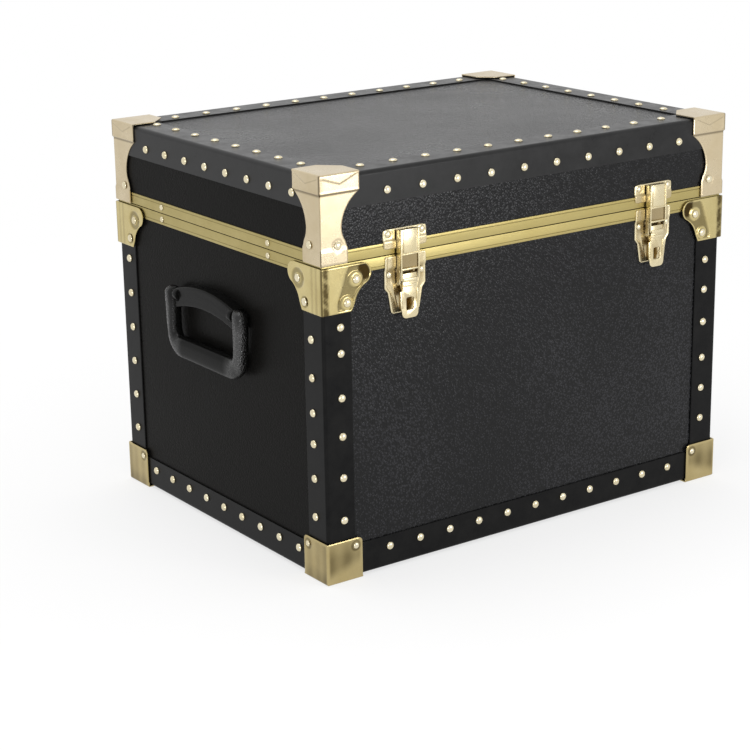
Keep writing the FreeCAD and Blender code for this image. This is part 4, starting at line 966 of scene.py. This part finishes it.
def finish_latch(node, bm, hollow, middle, blocks, foot):
    """Paints shade on a link or lever and adds its blocks, which get painted shade at their feet."""
    layer = bm.verts.layers.float.new("hollow")
    for vert in bm.verts:
        vert[layer] = hollow(*latch_place(vert.co))
    before = set(bm.verts)
    for across, heights, outs, bevel, segments in blocks:
        points = [(-CASE_Y - outs[k], heights[m]) for k, m in ((0, 0), (1, 0), (1, 1), (0, 1))]
        prism(bm, points, "x", (middle + across[0], middle + across[1]), bevel, segments)
    for vert in bm.verts:
        if vert not in before:
            vert[layer] = 0.25 * fade(*foot, latch_place(vert.co)[1])
    finish_piece(node + "_pressed", bm, node, LATCH, [node])


# Painted shade on the link's recessed face and on its face between the rails.
def link_painted_shade(u, out, z):
    if 6.0 < out < 7.6 and z < 287.0:
        return 0.62
    return 0.45 * fade(8.3, 8.6, u) if out > 8.0 and z > 286.0 else 0.05


# Painted shade on the upper middle of the lever.
def lever_painted_shade(u, out, z):
    return 0.3 * ease(240.0, 252.0, z) * fade(6.0, 9.0, u)


def make_link(node, middle):
    bm = clean_copy(node)
    for vert in bm.verts:
        if latch_place(vert.co)[1] > LINK_FACE:
            vert.co.y = -(CASE_Y + LINK_SUNK) * MM
    round_sharp(bm, 0.3, 2)
    finish_latch(node, bm, link_painted_shade, middle, LINK_BLOCKS, (8.2, 8.7))


def make_lever(node, middle):
    bm = clean_copy(node)
    for radius, chosen in LEVER_ROUNDS:
        round_upright(bm, radius, chosen)
    round_sharp(bm, 0.4, 2)
    finish_latch(node, bm, lever_painted_shade, middle, LEVER_BLOCKS, (7.5, 8.0))


# Bail handles: y is the distance from the handle's middle.
GRIP_HALF, GRIP_SIDES = 6.7, 32
BAR_LOW, BAR_TOP = 158.5, 178.5
OUTER_TURN, INNER_TURN = (43.6, 178.5, 20.0), (44.4, 186.5, 8.0)  # centre and radius of the lower corners
LEG_OUTER, LEG_INNER = (63.0, 5.0, 66.7), (52.5, -1.1, 46.7)  # y at the leg's foot, its lean, and over what height
TOP_ROUND, TOP_FROM = 9.0, 216.2  # the leg's outer edge at its top


def grip_stations():
    """Outer and inner points across the loop, from the rear leg's top round to the front leg's, and half depth."""
    stations = []
    for z in [225.0, 224.6, 223.8, 222.4, 220.5, 218.5, 216.0, *np.arange(213.0, 187.5, -2.5)]:
        outer = LEG_OUTER[0] + LEG_OUTER[1] * (z - BAR_LOW) / LEG_OUTER[2]
        inner = LEG_INNER[0] + LEG_INNER[1] * (z - BAR_TOP) / LEG_INNER[2]
        over = max(0.0, z - TOP_FROM)
        outer -= TOP_ROUND - math.sqrt(max(TOP_ROUND**2 - over**2, 0.0))
        half = GRIP_HALF if z <= PIVOT_Z else math.sqrt(max(GRIP_HALF**2 - (z - PIVOT_Z) ** 2, 0.2))
        stations.append(((outer, z), (inner, z), half))
    for t in quarter(12):
        outer, inner = ((y + r * math.cos(t), z - r * math.sin(t)) for y, z, r in (OUTER_TURN, INNER_TURN))
        stations.append((outer, inner, GRIP_HALF))
    for k in range(1, 12):
        y = OUTER_TURN[0] * (1 - k / 12)
        stations.append(((y, BAR_LOW), (y * INNER_TURN[0] / OUTER_TURN[0], BAR_TOP), GRIP_HALF))
    front = [((-o[0], o[1]), (-i[0], i[1]), h) for o, i, h in reversed(stations)]
    return stations + [((0.0, BAR_LOW), (0.0, BAR_TOP), GRIP_HALF)] + front


def grip_grain(y, z):
    """Leather grain on the legs and lower corners, rubbed smooth along the bar's middle."""
    leg = ease(46.0, 56.0, abs(y)) * (1 - 0.5 * ease(205.0, 216.0, z))
    low = ease(36.0, 50.0, abs(y)) * fade(176.0, 186.0, z)
    return min(1.0, 0.1 + 0.9 * max(leg, low) * (0.35 + 0.65 * ease(55.0, 61.0, abs(y))))


def make_grips():
    for side, way in PAIR:
        bm, layer = new_mesh("grain")
        rings = []
        for outer, inner, half in grip_stations():
            middle, reach = ([(o + way_in * i) / 2 for o, i in zip(outer, inner)] for way_in in (1, -1))
            square = mix(0.62, 0.84, ease(40.0, 54.0, abs(middle[0])))  # 1 is an ellipse, and less is squarer
            ring = []
            for t in whole(GRIP_SIDES):
                across, deep = (math.copysign(abs(c) ** square, c) for c in (math.cos(t), math.sin(t)))
                y, z = middle[0] + reach[0] * across, middle[1] + reach[1] * across
                out = PIVOT_OUT + deep * half
                vert = bm.verts.new(Vector((way * (CASE_X + out), HANDLE_Y + y, z)) * MM)
                vert[layer] = grip_grain(y, z)
                ring.append(vert)
            rings.append(ring)
        tube(bm, rings)
        grip = f"handle_{side}_grip"
        finish_piece(grip + "_moulded", bm, f"handle_{side}", HANDLE, [grip], sharp=50.0)


# Handle plates: arched housings with two ears.
ARCH_HALF, ARCH_RISE, ARCH_STEPS = 51.0, 8.0, 60
ARCH_LOW, ARCH_TOP = 205.1, 224.1  # at the ends
HOUSING_OUT, HOUSING_EDGE, HOUSING_BULGE = 12.0, 1.6, 0.25
HOUSING_GRAIN = 0.12
PIVOT_ROUND, PIVOT_EAR = 6.0, (44.6, 50.95)
PIVOT_FOOT = ((0.3, 207.0), (11.0, 211.2), (0.3, 224.5))


def housing_section(bottom, top):
    """Out and height of a section: flat back, rounded edges and a slightly bulged face."""
    edge, face = HOUSING_EDGE, HOUSING_OUT - HOUSING_EDGE
    section = [(0.0, bottom)]
    section += [(face + edge * math.sin(t), bottom + edge - edge * math.cos(t)) for t in quarter(5)]
    for t in (j / 6 for j in range(1, 6)):
        out = HOUSING_OUT + HOUSING_BULGE * math.sin(math.pi * t) - HOUSING_BULGE
        section.append((out, mix(bottom + edge, top - edge, t)))
    section += [(face + edge * math.cos(t), top - edge + edge * math.sin(t)) for t in quarter(5)]
    return section + [(0.0, top)]


def make_housings():
    radius = (ARCH_HALF**2 + ARCH_RISE**2) / (2 * ARCH_RISE)
    ear = ear_outline(PIVOT_FOOT, (PIVOT_OUT, PIVOT_Z), PIVOT_ROUND, [-40 + 13 * k for k in range(11)])
    for side, way in PAIR:
        bm, layer = new_mesh("grain")
        rings = []
        for k in range(ARCH_STEPS + 1):
            y = -ARCH_HALF + 2 * ARCH_HALF * k / ARCH_STEPS
            arch = math.sqrt(radius**2 - y * y) - (radius - ARCH_RISE)
            section = housing_section(ARCH_LOW + arch, ARCH_TOP + arch)
            rings.append([bm.verts.new(Vector((way * (CASE_X + o), HANDLE_Y + y, z)) * MM) for o, z in section])
        tube(bm, rings)
        for ear_way in (-1, 1):
            points = [(way * (CASE_X + out), z) for out, z in ear]
            prism(bm, points, "y", [HANDLE_Y + ear_way * y for y in PIVOT_EAR], 0.7, 3)
        for vert in bm.verts:
            vert[layer] = HOUSING_GRAIN
        finish_piece(f"handle_{side}_housing", bm, "base", HANDLE, [f"handle_{side}_plate"])


make_lid_corners()
make_base_corners()
make_bottom_caps()
make_valances()
make_heads()
make_latch_plates()
make_keepers()
for side, way in PAIR:
    make_link(f"latch_{side}_link", way * LATCH_X)
    make_lever(f"latch_{side}_lever", way * LATCH_X)
make_grips()
make_housings()
strips = [f"base_{s}_bottom_binding" for s in SIDES] + [f"base_{c}_post" for c in CORNERS]
soften(strips, 0.7, BINDING, 3, rounder=1.5)
soften([f"lid_{s}_top_binding" for s in SIDES], 0.7, BINDING_LID_PAINTED_LIGHT, 3, rounder=2.0)
soften([f"hinge_{s}_{p}_leaf" for s, way in PAIR for p in ("lid", "base")], 0.3, BRASS)


def solid_look(name):
    """The look of pins, linings and boards, which keep their own shape."""
    if "pin" in name.split("_")[-1]:
        return STEEL
    if "lining" in name:
        return LINING
    # The end boards take the darker copy of the vinyl, as painted shade, and the top boards the lighter one, as
    # painted light.
    if "_left_" in name or "_right_" in name:
        return VINYL_END_PAINTED_SHADE
    return VINYL_TOP_PAINTED_LIGHT if "top" in name else VINYL


for name, node in frame["nodes"].items():
    if not node.hide_render:
        node.data.materials.clear()
        node.data.materials.append(solid_look(name))


# Floor, light and camera, in metres.
FLOOR_HALF, FLOOR_DROP, FLOOR_PALE = 30.0, 0.0002, 0.94
GLOW_SHARE, GLOW_REACH = (0.68, 1.0), (0.6, 1.6)  # share of white seen near the trunk and far off, and where
STUDIO_LEVEL = 0.85
PHOTO_PIXELS, SENSOR = 750, 36.0
FOCAL_PIXELS = 2023.242
CAMERA_TURN, CAMERA_RISE, CAMERA_ROLL = -35.297, 17.144, -0.926  # degrees
CAMERA_PLACE = (-42.824, -70.364, 1985.487)  # across, up and back from the aim, in millimetres
CAMERA_AIM = (0, 0, 180)


def seen_directly(tree):
    """1 for rays from the camera, in mirrors and through glass, which see plain white, else 0."""
    path = add_node(tree, "ShaderNodeLightPath")
    seen = path.outputs["Is Camera Ray"]
    for ray in ("Is Glossy Ray", "Is Transmission Ray"):
        seen = add_node(tree, "ShaderNodeMath", {0: seen, 1: path.outputs[ray]}, operation="MAXIMUM").outputs[0]
    return seen


def floor_look():
    """A pale floor with a shadow near the trunk, which turns into the white background far off."""
    made = bpy.data.materials.new("floor")
    made.use_nodes = True
    tree = made.node_tree
    tree.nodes.remove(tree.nodes["Principled BSDF"])
    plain = add_node(tree, "ShaderNodeBsdfDiffuse", {"Color": (*[FLOOR_PALE] * 3, 1)})
    glow = add_node(tree, "ShaderNodeEmission", {"Color": WHITE})
    place = add_node(tree, "ShaderNodeNewGeometry").outputs["Position"]
    far = add_node(tree, "ShaderNodeVectorMath", {0: place}, operation="LENGTH").outputs["Value"]
    share = spread(tree, far, GLOW_REACH, GLOW_SHARE, interpolation_type="SMOOTHSTEP")
    part = add_node(tree, "ShaderNodeMath", {0: seen_directly(tree), 1: share}, operation="MULTIPLY").outputs[0]
    blend = add_node(tree, "ShaderNodeMixShader", {0: part, 1: plain.outputs[0], 2: glow.outputs[0]})
    tree.links.new(blend.outputs[0], tree.nodes["Material Output"].inputs["Surface"])
    return made


def make_floor():
    bm = bmesh.new()
    bmesh.ops.create_grid(bm, x_segments=8, y_segments=8, size=FLOOR_HALF)
    floor = new_object("floor", bm, floor_look())
    floor.location.z = -FLOOR_DROP


def make_world():
    world = bpy.data.worlds.new("studio")
    scene.world = world
    world.use_nodes = True
    tree = world.node_tree
    back = tree.nodes["Background"]
    back.inputs["Color"].default_value = WHITE
    strength = spread(tree, seen_directly(tree), (0.0, 1.0), (STUDIO_LEVEL, 1.0))
    tree.links.new(strength, back.inputs["Strength"])


def soft_box(name, place, aim, size, power):
    lamp = bpy.data.lights.new(name, "AREA")
    lamp.shape = "RECTANGLE"
    lamp.size, lamp.size_y = size
    lamp.energy = power
    made = bpy.data.objects.new(name, lamp)
    made.location = place
    made.visible_camera = False
    made.rotation_euler = (Vector(aim) - Vector(place)).to_track_quat("-Z", "Y").to_euler()
    scene.collection.objects.link(made)


def make_camera():
    """The photo's camera, fitted to the trunk's corners."""
    turn, tip, roll = (math.radians(v) for v in (CAMERA_TURN, 90 - CAMERA_RISE, CAMERA_ROLL))
    axes = Matrix.Rotation(turn, 3, "Z") @ Matrix.Rotation(tip, 3, "X") @ Matrix.Rotation(roll, 3, "Z")
    lens = bpy.data.cameras.new("camera")
    lens.sensor_width = SENSOR
    lens.lens = FOCAL_PIXELS * SENSOR / PHOTO_PIXELS
    camera = bpy.data.objects.new("camera", lens)
    place = (axes @ Vector(CAMERA_PLACE) + Vector(CAMERA_AIM)) * MM
    camera.matrix_world = Matrix.Translation(place) @ axes.to_4x4()
    scene.collection.objects.link(camera)
    scene.camera = camera


make_floor()
make_world()
soft_box("key", place=(0.35, -1.25, 0.34), aim=(-0.17, -0.178, 0.3), size=(0.45, 0.4), power=3.8)
soft_box("edge", place=(-1.75, -1.5, 0.34), aim=(0, 0, 0.2), size=(0.5, 0.5), power=8.0)
soft_box("top", place=(-0.2, 0.4, 2.6), aim=(0, 0, 0.2), size=(1.8, 1.8), power=20.0)
make_camera()
